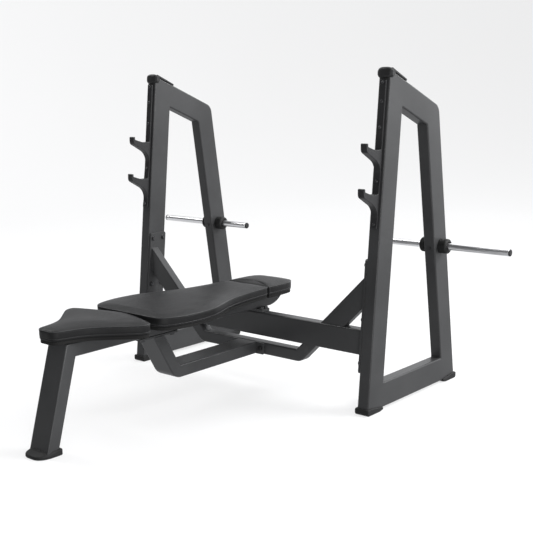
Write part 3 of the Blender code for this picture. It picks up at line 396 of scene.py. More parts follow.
class Finishes:
    """Every finish of the object, built once."""

    def __init__(self) -> None:
        """Build the materials."""
        self.charcoal = Finish(PowderCoat("charcoal_powder_coat", (0.039, 0.0394, 0.0403),
                                          (0.080, 0.080, 0.082)), Slot.POWDER_COAT)
        self.satin_black = Finish(PowderCoat("black_powder_coat", (0.018, 0.018, 0.019),
                                             (0.070, 0.070, 0.070), 0.42), Slot.HOOK_COAT)
        self.vinyl = Finish(Vinyl("pad_vinyl", (0.0105, 0.0105, 0.0108),
                                  (0.017, 0.017, 0.0174)), Slot.UPHOLSTERY)
        # The welt's vinyl is lighter than the pad's vinyl: a painted highlight along the pads' top
        # edges and hem.
        self.welt = Finish(Vinyl("welt_vinyl_painted_highlight", (0.045, 0.045, 0.046), (0.070, 0.070, 0.071),
                                 0.34, 900.0), Slot.UPHOLSTERY)
        self.thread = Finish(Moulded("pad_thread", (0.035, 0.035, 0.036), (0.06, 0.06, 0.06),
                                     0.6, 2500.0), Slot.UPHOLSTERY)
        self.board = Finish(StainedBoard("stained_board", (0.0070, 0.0070, 0.0068),
                                         (0.018, 0.0175, 0.017)), Slot.PLYWOOD)
        self.chrome = Finish(Metal("peg_chrome", (0.90, 0.90, 0.91), (0.76, 0.76, 0.77), 0.26),
                             Slot.CHROME)
        self.rubber = Finish(Moulded("black_rubber", (0.010, 0.010, 0.010),
                                     (0.050, 0.049, 0.047)), Slot.RUBBER)
        self.plastic = Finish(Moulded("black_plastic", (0.014, 0.014, 0.0145),
                                      (0.05, 0.05, 0.05), 0.46, 1400.0, 0.00008), Slot.PLASTIC)
        self.black_steel = Finish(Metal("black_oxide_steel", (0.10, 0.10, 0.104),
                                        (0.05, 0.048, 0.046), 0.34), Slot.STEEL)


# --- outlines ---------------------------------------------------------------------
def side_view(point: Vector, across: float) -> Vector:
    """A side-view point (y, z) placed at an x."""
    return Vector((across, point.x, point.y))


def front_view(point: Vector, across: float) -> Vector:
    """A front-view point (x, z) placed at a y."""
    return Vector((point.x, across, point.y))


def plan_view(point: Vector, across: float) -> Vector:
    """A plan point (x, y) placed at a height."""
    return Vector((point.x, point.y, across))


def left_of(way: Vector) -> Vector:
    """The direction a quarter turn to the left."""
    return Vector((-way.y, way.x))


def meet(start: Vector, way: Vector, other: Vector, other_way: Vector) -> Vector:
    """Where two lines of a plane cross.

    Args:
        start: A point of the first line.
        way: The first line's direction.
        other: A point of the second line.
        other_way: The second line's direction.

    Returns:
        The crossing point.
    """
    turn = way.x * other_way.y - way.y * other_way.x
    gap = other - start
    return start + way * ((gap.x * other_way.y - gap.y * other_way.x) / turn)


def rounded(corners: Iterable[tuple[float, float, float]], steps: int = 6) -> Outline:
    """A closed outline whose corners are rounded.

    Args:
        corners: (x, y, radius) of each corner; a radius of 0 keeps it sharp.
        steps: Segments of each arc.

    Returns:
        The outline, anticlockwise.
    """
    corners = list(corners)
    spots = [Vector(corner[:2]) for corner in corners]
    outline: Outline = []
    for index, (_, _, radius) in enumerate(corners):
        spot = spots[index]
        if not radius:
            outline.append(spot)
            continue
        arriving = (spot - spots[index - 1]).normalized()
        leaving = (spots[(index + 1) % len(spots)] - spot).normalized()
        side = math.copysign(1.0, arriving.x * leaving.y - arriving.y * leaving.x)
        sweep = math.acos(max(-1.0, min(1.0, arriving.dot(leaving))))
        centre = spot - arriving * radius * math.tan(sweep / 2) + left_of(arriving) * radius * side
        arm = left_of(arriving) * -radius * side
        outline += [centre + Matrix.Rotation(side * sweep * step / steps, 2) @ arm
                    for step in range(steps + 1)]
    area = sum(a.x * b.y - b.x * a.y for a, b in zip(outline, outline[1:] + outline[:1]))
    return outline if area > 0 else outline[::-1]


def inset(outline: Outline, distance: float) -> Outline:
    """An anticlockwise outline moved inwards, or outwards if the distance is negative.

    Args:
        outline: The outline.
        distance: How far it moves.

    Returns:
        The moved outline, point for point.
    """
    moved: Outline = []
    for index, corner in enumerate(outline):
        arriving = (corner - outline[index - 1]).normalized()
        leaving = (outline[(index + 1) % len(outline)] - corner).normalized()
        inward = (left_of(arriving) + left_of(leaving)).normalized()
        moved.append(corner + inward * distance / max(0.3, inward.dot(left_of(arriving))))
    return moved


def rim_levels(low: float, high: float, rim: float, steps: int) -> list[tuple[float, float]]:
    """Stations of a slab's thickness with both rims rounded.

    Args:
        low: Where the slab starts.
        high: Where it ends.
        rim: The radius of its rims.
        steps: Segments of each rim.

    Returns:
        (place, inset) pairs from low to high.
    """
    angles = [math.pi / 2 * step / steps for step in range(steps + 1)]
    lower = [(low + rim * (1 - math.cos(a)), rim * (1 - math.sin(a))) for a in angles]
    upper = [(high - rim * (1 - math.sin(a)), rim * (1 - math.cos(a))) for a in angles]
    return lower + upper


def rectangle(low: Sequence[float], high: Sequence[float], radius: float = 0.0
              ) -> list[tuple[float, float, float]]:
    """The (x, y, radius) corners of a rectangle from its lowest and highest corners."""
    return [(low[0], low[1], radius), (high[0], low[1], radius), (high[0], high[1], radius),
            (low[0], high[1], radius)]


# --- meshes -----------------------------------------------------------------------
def weave(mesh: bmesh.types.BMesh, rings: Sequence[Sequence[Sequence[float]]],
          loop: bool = False) -> list[list[bmesh.types.BMVert]]:
    """Join rings of points with quads.

    Args:
        mesh: The mesh that gets them.
        rings: Rings of equal length.
        loop: Whether the last ring joins the first.

    Returns:
        The vertices of each ring.
    """
    made = [[mesh.verts.new(point) for point in ring] for ring in rings]
    for lower, upper in zip(made, made[1:] + (made[:1] if loop else [])):
        for index in range(len(lower)):
            mesh.faces.new((lower[index - 1], lower[index], upper[index], upper[index - 1]))
    return made


def fill(mesh: bmesh.types.BMesh, *rings: list[bmesh.types.BMVert]) -> None:
    """Close what lies inside a ring, or between two, with triangles."""
    edges = [mesh.edges.get((ring[i - 1], ring[i])) for ring in rings for i in range(len(ring))]
    bmesh.ops.triangle_fill(mesh, use_beauty=True, edges=edges)


def place(mesh: bmesh.types.BMesh, name: str, material: bpy.types.Material) -> bpy.types.Object:
    """Turn a mesh into a smooth object of the scene.

    Args:
        mesh: The mesh, which is freed.
        name: The object's name.
        material: Its material.

    Returns:
        The object.
    """
    bmesh.ops.recalc_face_normals(mesh, faces=mesh.faces)
    data = bpy.data.meshes.new(name)
    mesh.to_mesh(data)
    mesh.free()
    data.materials.append(material)
    data.shade_smooth()
    made = bpy.data.objects.new(name, data)
    bpy.context.scene.collection.objects.link(made)
    return made


class Maker:
    """Collects closed shapes into one mesh."""

    def __init__(self) -> None:
        """Start an empty mesh."""
        self.mesh = bmesh.new()

    def loft(self, rings: list[list[Vector]], loop: bool = False) -> "Maker":
        """Join rings of points with quads.

        Args:
            rings: Rings of equal length.
            loop: Whether the last ring joins the first; otherwise both ends are closed.

        Returns:
            The maker.
        """
        made = weave(self.mesh, rings, loop)
        if not loop:
            self.mesh.faces.new(made[0])
            self.mesh.faces.new(made[-1])
        return self

    def slab(self, outline: Outline, plane: Plane, low: float, high: float, rim: float = 0.0008,
             steps: int = 3) -> "Maker":
        """A plate of an outline from low to high across its plane, with rounded rims."""
        levels = rim_levels(low, high, rim, steps)
        return self.loft([[plane(point, across) for point in inset(outline, shrink)]
                          for across, shrink in levels])

    def window_slab(self, outline: Outline, window: Outline, plane: Plane, low: float,
                    high: float, rim: float, steps: int = 4) -> "Maker":
        """A plate with a window through it, all its edges rounded.

        Args:
            outline: The outer outline, anticlockwise.
            window: The window's outline, anticlockwise.
            plane: Places the points.
            low: Where the plate starts across the plane.
            high: Where it ends.
            rim: The radius of its edges.
            steps: Segments of each edge.

        Returns:
            The maker.
        """
        levels = rim_levels(low, high, rim, steps)
        shells = [weave(self.mesh, [[plane(point, across) for point in inset(loop, way * shrink)]
                                    for across, shrink in levels])
                  for loop, way in ((outline, 1), (window, -1))]
        for end in (0, -1):
            fill(self.mesh, *(rings[end] for rings in shells))
        return self

    def bulb(self, outline: Outline, plane: Plane, low: float, high: float,
             power: float = 3.0, steps: int = 9) -> "Maker":
        """A moulded lump: an outline that shrinks towards both of its ends.

        Args:
            outline: The outline at the middle.
            plane: Places the outline's points.
            low: Where the lump starts across the plane.
            high: Where it ends.
            power: How square its shoulders are.
            steps: Rings from the middle to each end.

        Returns:
            The maker.
        """
        centre = sum(outline, Vector((0.0, 0.0))) / len(outline)
        rings = []
        for step in range(-steps, steps + 1):
            reach = math.sin(math.pi / 2 * step / steps)
            shrink = max(0.50, (1 - abs(reach) ** power) ** (1 / power))
            across = (low + high) / 2 + (high - low) / 2 * reach
            rings.append([plane(centre + (point - centre) * shrink, across)
                          for point in outline])
        return self.loft(rings)

    def turn(self, levels: Sequence[tuple[float, float]], centre: Sequence[float],
             axis: Sequence[float], sides: int = 48, loop: bool = False) -> "Maker":
        """A turned shape.

        Args:
            levels: (along, radius) stations.
            centre: The point that stations are measured from.
            axis: The turning axis.
            sides: Sides of each ring.
            loop: Whether the profile closes on itself.

        Returns:
            The maker.
        """
        turn = Vector((0, 0, 1)).rotation_difference(Vector(axis)).to_matrix()
        rings = []
        for along, radius in levels:
            spots = []
            for side in range(sides):
                angle = 2 * math.pi * side / sides
                spots.append(Vector(centre) + turn @ Vector((radius * math.cos(angle),
                                                             radius * math.sin(angle), along)))
            rings.append(spots)
        return self.loft(rings, loop)

    def hex_bolt(self, seat: Sequence[float], axis: Sequence[float], head: float = 0.017,
                 height: float = 0.0075) -> "Maker":
        """A washer, a chamfered hexagon head and the domed stub of the marking ring.

        Args:
            seat: Where the washer rests.
            axis: The way the head points.
            head: Width across the flats.
            height: Height of the head.

        Returns:
            The maker.
        """
        corner = head / 2 / math.cos(math.pi / 6)
        washer = head * 0.60
        self.turn(((-0.001, washer), (0.0012, washer), (0.0016, washer - 0.0006)), seat, axis, 32)
        self.turn(((0.001, corner), (height * 0.82, corner), (height, corner * 0.88)),
                  seat, axis, 6)
        self.turn(((height - 0.001, corner * 0.80), (height + 0.0003, corner * 0.80),
                   (height + 0.0004, corner * 0.74)), seat, axis, 32)
        return self

    def cord(self, points: list[Vector], radius: float, sides: int = 8) -> "Maker":
        """A closed cord along points that form a loop, such as a welt.

        Args:
            points: Points of the loop.
            radius: The cord's radius.
            sides: Sides of its section.

        Returns:
            The maker.
        """
        rings = []
        for index, point in enumerate(points):
            ahead = (points[(index + 1) % len(points)] - points[index - 1]).normalized()
            out = ahead.cross(Vector((0, 0, 1)))
            out = out.normalized() if out.length > 1e-6 else Vector((1, 0, 0))
            up = out.cross(ahead)
            turns = [math.tau * side / sides for side in range(sides)]
            rings.append([point + (out * math.cos(a) + up * math.sin(a)) * radius for a in turns])
        return self.loft(rings, loop=True)

    def bead(self, start: Sequence[float], end: Sequence[float], radius: float = 0.0032
             ) -> "Maker":
        """A weld bead with its stacked ripples.

        Args:
            start: Where the bead starts.
            end: Where it ends.
            radius: Its radius.

        Returns:
            The maker.
        """
        start, end = Vector(start), Vector(end)
        length = (end - start).length
        count = max(4, int(length / 0.0016))
        levels = []
        for step in range(count + 1):
            taper = min(1.0, 4 * min(step, count - step) / count + 0.25)
            swell = 0.80 + 0.20 * abs(math.sin(math.pi * step / 2.6))
            levels.append((length * step / count, radius * taper * swell))
        return self.turn(levels, start, end - start, 8)

    def piece(self, name: str, finish: Finish, *nodes: str) -> None:
        """Turn the shapes into one object that rides on the frame.

        Args:
            name: The piece's name.
            finish: Its finish.
            nodes: CAD nodes that it replaces.
        """
        made = place(self.mesh, name, finish.material)
        made.data.set_sharp_from_angle(angle=SHARP_ANGLE)
        weighted = made.modifiers.new("flat_faces", "WEIGHTED_NORMAL")
        weighted.keep_sharp = True
        weighted.weight = FLAT_WEIGHT
        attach(made, BODY)
        if nodes:
            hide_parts(*nodes)
        LOG.info("%s: %d faces", name, len(made.data.polygons))


def middle(node: str) -> Vector:
    """The middle of a CAD node's box."""
    low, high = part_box(node)
    return (low + high) / 2


# --- side frames ------------------------------------------------------------------
@dataclass
class SideFrame:
    """One leaning side frame with its hook column, cap, boots and plate peg."""

    side_name: str
    finishes: Finishes
    front_lean: float = math.radians(5.6)
    rear_lean: float = math.radians(8.85)
    top_slope: float = math.radians(20.75)
    tube_wide: float = 0.100
    tube_slim: float = 0.050
    tube_rim: float = 0.0065
    rear_corner: float = 0.045
    column_proud: float = 0.010
    hook_reach: float = 0.106
    hook_tip: float = 0.010
    hook_lip: float = 0.026
    hook_root: float = 0.056
    saddles: tuple[float, float] = (0.841, 1.005)
    column_screws: tuple[float, ...] = (0.727, 0.887, 1.085, 1.180, 1.250)
    screw_radius: float = 0.0062
    screw_height: float = 0.003
    cap_half: float = 0.033
    tongue_half: float = 0.028
    tongue_span: tuple[float, float] = (0.010, 0.117)
    collar_bore: float = 0.0145
    rib_pitch: float = 0.0065
    rib_depth: float = 0.0011
    boot_wall: float = 0.0065
    boot_length: float = 0.107
    boot_height: float = 0.026

    def __post_init__(self) -> None:
        """Take the frame's place from its CAD nodes."""
        self.side = SIDES[self.side_name]
        low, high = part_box(self.node("front_post"))
        self.x = (low.x + high.x) / 2
        self.floor = low.z
        self.front_y = low.y
        self.top_z = high.z
        self.rear_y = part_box(self.node("rear_post"))[1].y
        self.beam_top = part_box(self.node("bottom_beam"))[1].z

    def node(self, part: str) -> str:
        """The name of this side's CAD node."""
        return f"{self.side_name}_{part}"

    def add(self, maker: Maker, name: str, finish: Finish, *parts: str) -> None:
        """Hand a piece over under this side's name, in place of this side's CAD nodes."""
        maker.piece(self.node(name), finish, *(self.node(part) for part in parts))

    def face(self, height: float) -> float:
        """The y of the front post's front face at a height."""
        return self.front_y + (height - self.floor) * math.tan(self.front_lean)

    def corners(self) -> tuple[Vector, Vector, Vector, Vector]:
        """Outer corners: front foot, front top, rear top, rear foot."""
        front = Vector((self.front_y, self.floor))
        top = Vector((self.face(self.top_z), self.top_z))
        rear = Vector((self.rear_y, self.floor))
        slope = Vector((math.cos(self.top_slope), -math.sin(self.top_slope)))
        down = Vector((math.sin(self.rear_lean), -math.cos(self.rear_lean)))
        return front, top, meet(top, slope, rear, down), rear

    def build(self) -> None:
        """Build every piece of the frame."""
        self.build_shell()
        self.build_column()
        self.build_screws()
        self.build_cap()
        self.build_boot("front_boot", -1)
        self.build_boot("rear_boot", 1)
        self.build_peg()

    def build_shell(self) -> None:
        """The welded tubes, ground flush and coated as one."""
        front, top, rear_top, rear = self.corners()
        lines = [(Vector((0, self.beam_top)), Vector((1, 0)))]
        for start, end in ((front, top), (top, rear_top), (rear_top, rear)):
            way = (end - start).normalized()
            lines.append((start - left_of(way) * self.tube_wide, way))
        window = [meet(*lines[index - 1], *lines[index]) for index in range(4)]
        window = rounded([(*spot, 0.0015) for spot in window], 2)
        outer = [(*front, 0.0), (*top, 0.0), (*rear_top, self.rear_corner), (*rear, 0.0)]
        half = self.tube_slim / 2
        maker = Maker().window_slab(rounded(outer, 10), window, side_view, self.x - half,
                                    self.x + half, self.tube_rim)
        self.add(maker, "frame_shell", self.finishes.charcoal, "front_post", "rear_post",
                 "top_beam", "bottom_beam")

    def hook(self, saddle: float) -> list[tuple[float, float, float]]:
        """Corners of one hook, from its root up and round to its saddle.

        Args:
            saddle: The saddle's height.

        Returns:
            (y, z, radius) corners.
        """
        face, lip = self.face(saddle), saddle + self.hook_lip
        root, tip = face - self.column_proud, face - self.hook_reach
        return [(root, saddle - self.hook_root, 0.055), (tip, saddle - 0.005, 0.017),
                (tip, lip, 0.0045), (tip + self.hook_tip, lip, 0.0035),
                (tip + self.hook_tip, lip - 0.012, 0.005), (face - 0.049, saddle, 0.030),
                (root, saddle, 0.002)]

    def build_column(self) -> None:
        """The strip with two bar hooks."""
        low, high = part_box(self.node("hook_column"))
        corners = [(self.face(height) - GAP, height, 0.0) for height in (high.z, low.z)]
        corners.append((self.face(low.z) - self.column_proud, low.z, 0.003))
        for saddle in self.saddles:
            corners += self.hook(saddle)
        corners.append((self.face(high.z) - self.column_proud, high.z, 0.002))
        maker = Maker().slab(rounded(corners, 10), side_view, low.x, high.x, 0.0018)
        self.add(maker, "bar_hooks", self.finishes.satin_black, "hook_column")

    def build_screws(self) -> None:
        """Domed screws down the column."""
        axis = (0, -math.cos(self.front_lean), math.sin(self.front_lean))
        maker = Maker()
        for height in self.column_screws:
            seat = Vector((self.x, self.face(height), height)) + Vector(axis) * self.column_proud
            dome = [(self.screw_height * math.sin(a), self.screw_radius * math.cos(a)) for a in
                    (math.pi / 2 * step / 5 for step in range(5))]
            maker.turn(((-0.001, self.screw_radius), *dome, (0.0029, 0.0022), (0.0012, 0.0020)),
                       seat, axis, 24)
        self.add(maker, "column_screws", self.finishes.black_steel, "hook_screws")

    def build_cap(self) -> None:
        """The rounded hood on the front top corner and its tongue."""
        _, top, rear_top, _ = self.corners()
        slope = (rear_top - top).normalized()
        lift = left_of(slope)
        hood = ((top.x - 0.012, top.y - 0.037, 0.013), (top.x + 0.016, top.y - 0.034, 0.011),
                (top.x + 0.031, top.y - 0.012, 0.011), (top.x + 0.020, top.y + 0.0035, 0.011),
                (top.x - 0.008, top.y + 0.0115, 0.012))
        near, far = self.tongue_span
        tongue = [(*(top + slope * along + lift * up), radius) for along, up, radius in
                  ((near, -0.0005, 0.0), (far, -0.0005, 0.0), (far, 0.006, 0.005),
                   (near, 0.0095, 0.0))]
        maker = Maker()
        maker.bulb(rounded(hood, 6), side_view, self.x - self.cap_half,
                   self.x + self.cap_half)
        maker.slab(rounded(tongue, 4), side_view, self.x - self.tongue_half,
                   self.x + self.tongue_half, 0.002)
        self.add(maker, "corner_cap", self.finishes.plastic, "top_cap")

    def build_boot(self, part: str, heel: int) -> None:
        """A rubber boot, highest at its outer end.

        Args:
            part: The boot's name.
            heel: -1 at the front, 1 at the rear.
        """
        lip = (self.front_y, self.rear_y)[heel > 0] + heel * self.boot_wall
        inner = lip - heel * self.boot_length
        sole = self.floor
        outline = ((lip, 0.0, 0.010), (lip, self.boot_height, 0.006),
                   (lip - heel * 0.030, self.boot_height, 0.014), (inner, sole + 0.005, 0.0048),
                   (inner, sole - 0.005, 0.0048), (inner + heel * 0.022, 0.0, 0.015))
        half = self.tube_slim / 2 + self.boot_wall
        maker = Maker().slab(rounded(outline, 6), side_view, self.x - half, self.x + half,
                             0.0044, 5)
        self.add(maker, f"{part}_rubber", self.finishes.rubber, part)

    def build_peg(self) -> None:
        """The chrome rod, its collars, end plugs and lock screw."""
        rod = middle(self.node("peg"))
        low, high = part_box(self.node("peg"))
        radius = (high.z - low.z) / 2
        maker = Maker().turn(((low.x, radius - 0.0008), (low.x + 0.0008, radius),
                              (high.x - 0.0008, radius), (high.x, radius - 0.0008)),
                             (0, rod.y, rod.z), (1, 0, 0), 64)
        self.add(maker, "chrome_peg", self.finishes.chrome, "peg")
        for place, way in (("outer", self.side), ("inner", -self.side)):
            self.build_collar(place, way, rod)
            self.build_plug(place, way, rod, radius)
        tilt = Vector((0, -math.cos(self.rear_lean), -math.sin(self.rear_lean)))
        seat = Vector((self.x, rod.y, rod.z)) + tilt * (self.tube_wide / 2)
        maker = Maker().hex_bolt(seat, tilt, 0.012, 0.005)
        self.add(maker, "peg_lock_screw", self.finishes.black_steel, "lock_screw")

    def build_collar(self, place: str, way: int, rod: Vector) -> None:
        """A ribbed rubber collar against the post.

        Args:
            place: outer or inner.
            way: The way it points along X.
            rod: A point of the rod's axis.
        """
        name = self.node(f"{place}_collar")
        low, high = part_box(name)
        rim = (high.z - low.z) / 2
        length = high.x - low.x
        start = low.x if way > 0 else high.x
        profile = [(0.0, self.collar_bore), (0.0, rim - 0.002), (0.0006, rim - 0.0006), (0.002, rim)]
        for rib in range(4):
            along = 0.006 + rib * self.rib_pitch
            profile += [(along, rim), (along + 0.0008, rim - self.rib_depth),
                        (along + 0.0022, rim - self.rib_depth), (along + 0.003, rim)]
        profile += [(length - 0.007, rim), (length - 0.004, rim - 0.001),
                    (length - 0.0015, rim - 0.0038), (length - 0.0002, rim - 0.008),
                    (length, rim - 0.011), (length - 0.001, rim - 0.0125),
                    (length - 0.004, rim - 0.0135), (length - 0.004, 0.0143)]
        maker = Maker().turn(profile, (start, rod.y, rod.z), (way, 0, 0), 64, loop=True)
        maker.piece(f"{name}_rubber", self.finishes.rubber, name)

    def build_plug(self, place: str, way: int, rod: Vector, radius: float) -> None:
        """A domed plug in the rod's end.

        Args:
            place: outer or inner.
            way: The way it points along X.
            rod: A point of the rod's axis.
            radius: The rod's radius.
        """
        name = self.node(f"{place}_peg_plug")
        low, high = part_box(name)
        face = high.x if way > 0 else low.x
        profile = ((-0.0059, radius - 0.001), (-0.0055, radius), (-0.0022, radius),
                   (-0.0010, radius - 0.0008), (-0.0003, radius - 0.0025),
                   (0.0, radius - 0.005))
        maker = Maker().turn(profile, (face, rod.y, rod.z), (way, 0, 0), 48)
        maker.piece(f"{name}_cap", self.finishes.plastic, name)


# --- cross members ----------------------------------------------------------------
@dataclass
class CrossMembers:
    """What runs from frame to frame: beam, end plates, braces and the lower tube."""

    finishes: Finishes
    frames: dict[str, SideFrame]
    rim: float = 0.0065
    brace_wide: float = 0.080
    brace_slim: float = 0.040
    sink: float = 0.007
    lower_bend: float = 0.022
    bolt_spacing: float = 0.060
    plate_edge: float = 0.004
    weld_short: float = 0.006
    fine_weld: float = 0.0026
    bolt_heights: tuple[float, ...] = (0.192, 0.360, 0.569)

    def __post_init__(self) -> None:
        """Take places from the CAD nodes."""
        self.low, self.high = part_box("cross_beam")
        self.beam_y = middle("cross_beam").y

    def build(self) -> None:
        """Build every piece."""
        self.build_beam()
        for side_name in SIDES:
            self.build_end_plate(side_name)
            self.build_brace(side_name)
        self.build_lower_tube()

    def build_beam(self) -> None:
        """The main beam; its ends run into the end plates."""
        reach = self.high.x + 0.008
        outline = rounded(rectangle((-reach, self.low.z), (reach, self.high.z)))
        maker = Maker().slab(outline, front_view, self.low.y, self.high.y, self.rim, 5)
        maker.piece("cross_beam_tube", self.finishes.charcoal, "cross_beam")

    def build_end_plate(self, side_name: str) -> None:
        """A bolted plate with its six bolts and the weld round the beam.

        Args:
            side_name: left or right.
        """
        node = f"{side_name}_end_plate"
        side, frame = SIDES[side_name], self.frames[side_name]
        low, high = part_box(node)
        deep = frame.tube_wide / math.cos(frame.front_lean)
        corners = []
        for height, edges in ((low.z, (0, 1)), (high.z, (1, 0))):
            spots = (self.plate_edge, deep - self.plate_edge)
            corners += [(frame.face(height) + spots[edge], height, 0.010) for edge in edges]
        maker = Maker().slab(rounded(corners), side_view, low.x, high.x, 0.0012)
        face = low.x if side > 0 else high.x
        short = self.weld_short
        for y in (self.low.y, self.high.y):
            maker.bead((face, y, self.low.z + short), (face, y, self.high.z - short))
        for z in (self.low.z, self.high.z):
            maker.bead((face, self.low.y + short, z), (face, self.high.y - short, z))
        maker.piece(f"{node}_coated", self.finishes.charcoal, node)

        bolts = Maker()
        for height in self.bolt_heights:
            for step in (-1, 1):
                y = frame.face(height) + deep / 2 + step * self.bolt_spacing / 2
                bolts.hex_bolt((face, y, height), (-side, 0, 0))
        bolts.piece(f"{side_name}_plate_bolts", self.finishes.black_steel, f"{node}_bolts")

    def build_brace(self, side_name: str) -> None:
        """The diagonal brace, with weld beads at both ends.

        Args:
            side_name: left or right.
        """
        side = SIDES[side_name]
        low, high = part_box(f"{side_name}_brace")
        outer = high.x if side > 0 else -low.x
        fall = self.brace_wide * math.sqrt(2)
        top, seat, sink = high.z, self.high.z, self.sink
        upper = [(outer + sink, top + sink), (outer - (top - seat) - sink, seat - sink)]
        lower = [(outer - (top - fall - seat) - sink, seat - sink), (outer + sink, top - fall + sink)]
        outline = rounded([(side * x, z, 0.0) for x, z in upper + lower])
        half = self.brace_slim / 2
        maker = Maker().slab(outline, front_view, self.beam_y - half, self.beam_y + half, 0.005, 5)
        for y in (self.beam_y - half, self.beam_y + half):
            maker.bead((side * (outer - (top - seat) + 0.008), y, seat),
                       (side * (outer - (top - fall - seat) - 0.008), y, seat), self.fine_weld)
            maker.bead((side * outer, y, top - 0.008), (side * outer, y, top - fall + 0.008),
                       self.fine_weld)
        maker.piece(f"{side_name}_brace_tube", self.finishes.charcoal, f"{side_name}_brace")

    def build_lower_tube(self) -> None:
        """The bent tube under the cross beam."""
        low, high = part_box("lower_cross_tube")
        size = high.y - low.y
        top = self.low.z + self.sink
        flat = high.x - (high.z - low.z - size) - size * math.sqrt(2)
        inner = (flat, low.z + size)
        shift = size * math.tan(math.pi / 8)
        outer = (flat + shift, low.z)
        rise_in, rise_out = top - inner[1], top - outer[1]
        half = [(inner[0] + rise_in, top, 0.0), (outer[0] + rise_out, top, 0.0),
                (*outer, self.lower_bend + size / 2)]
        mirrored = [(-x, z, r) for x, z, r in reversed(half)]
        corners = [(*inner, 0.003), *half, *mirrored, (-inner[0], inner[1], 0.003)]
        maker = Maker().slab(rounded(corners, 8), front_view, low.y, high.y, self.rim, 5)
        maker.piece("lower_cross_tube_bent", self.finishes.charcoal, "lower_cross_tube")


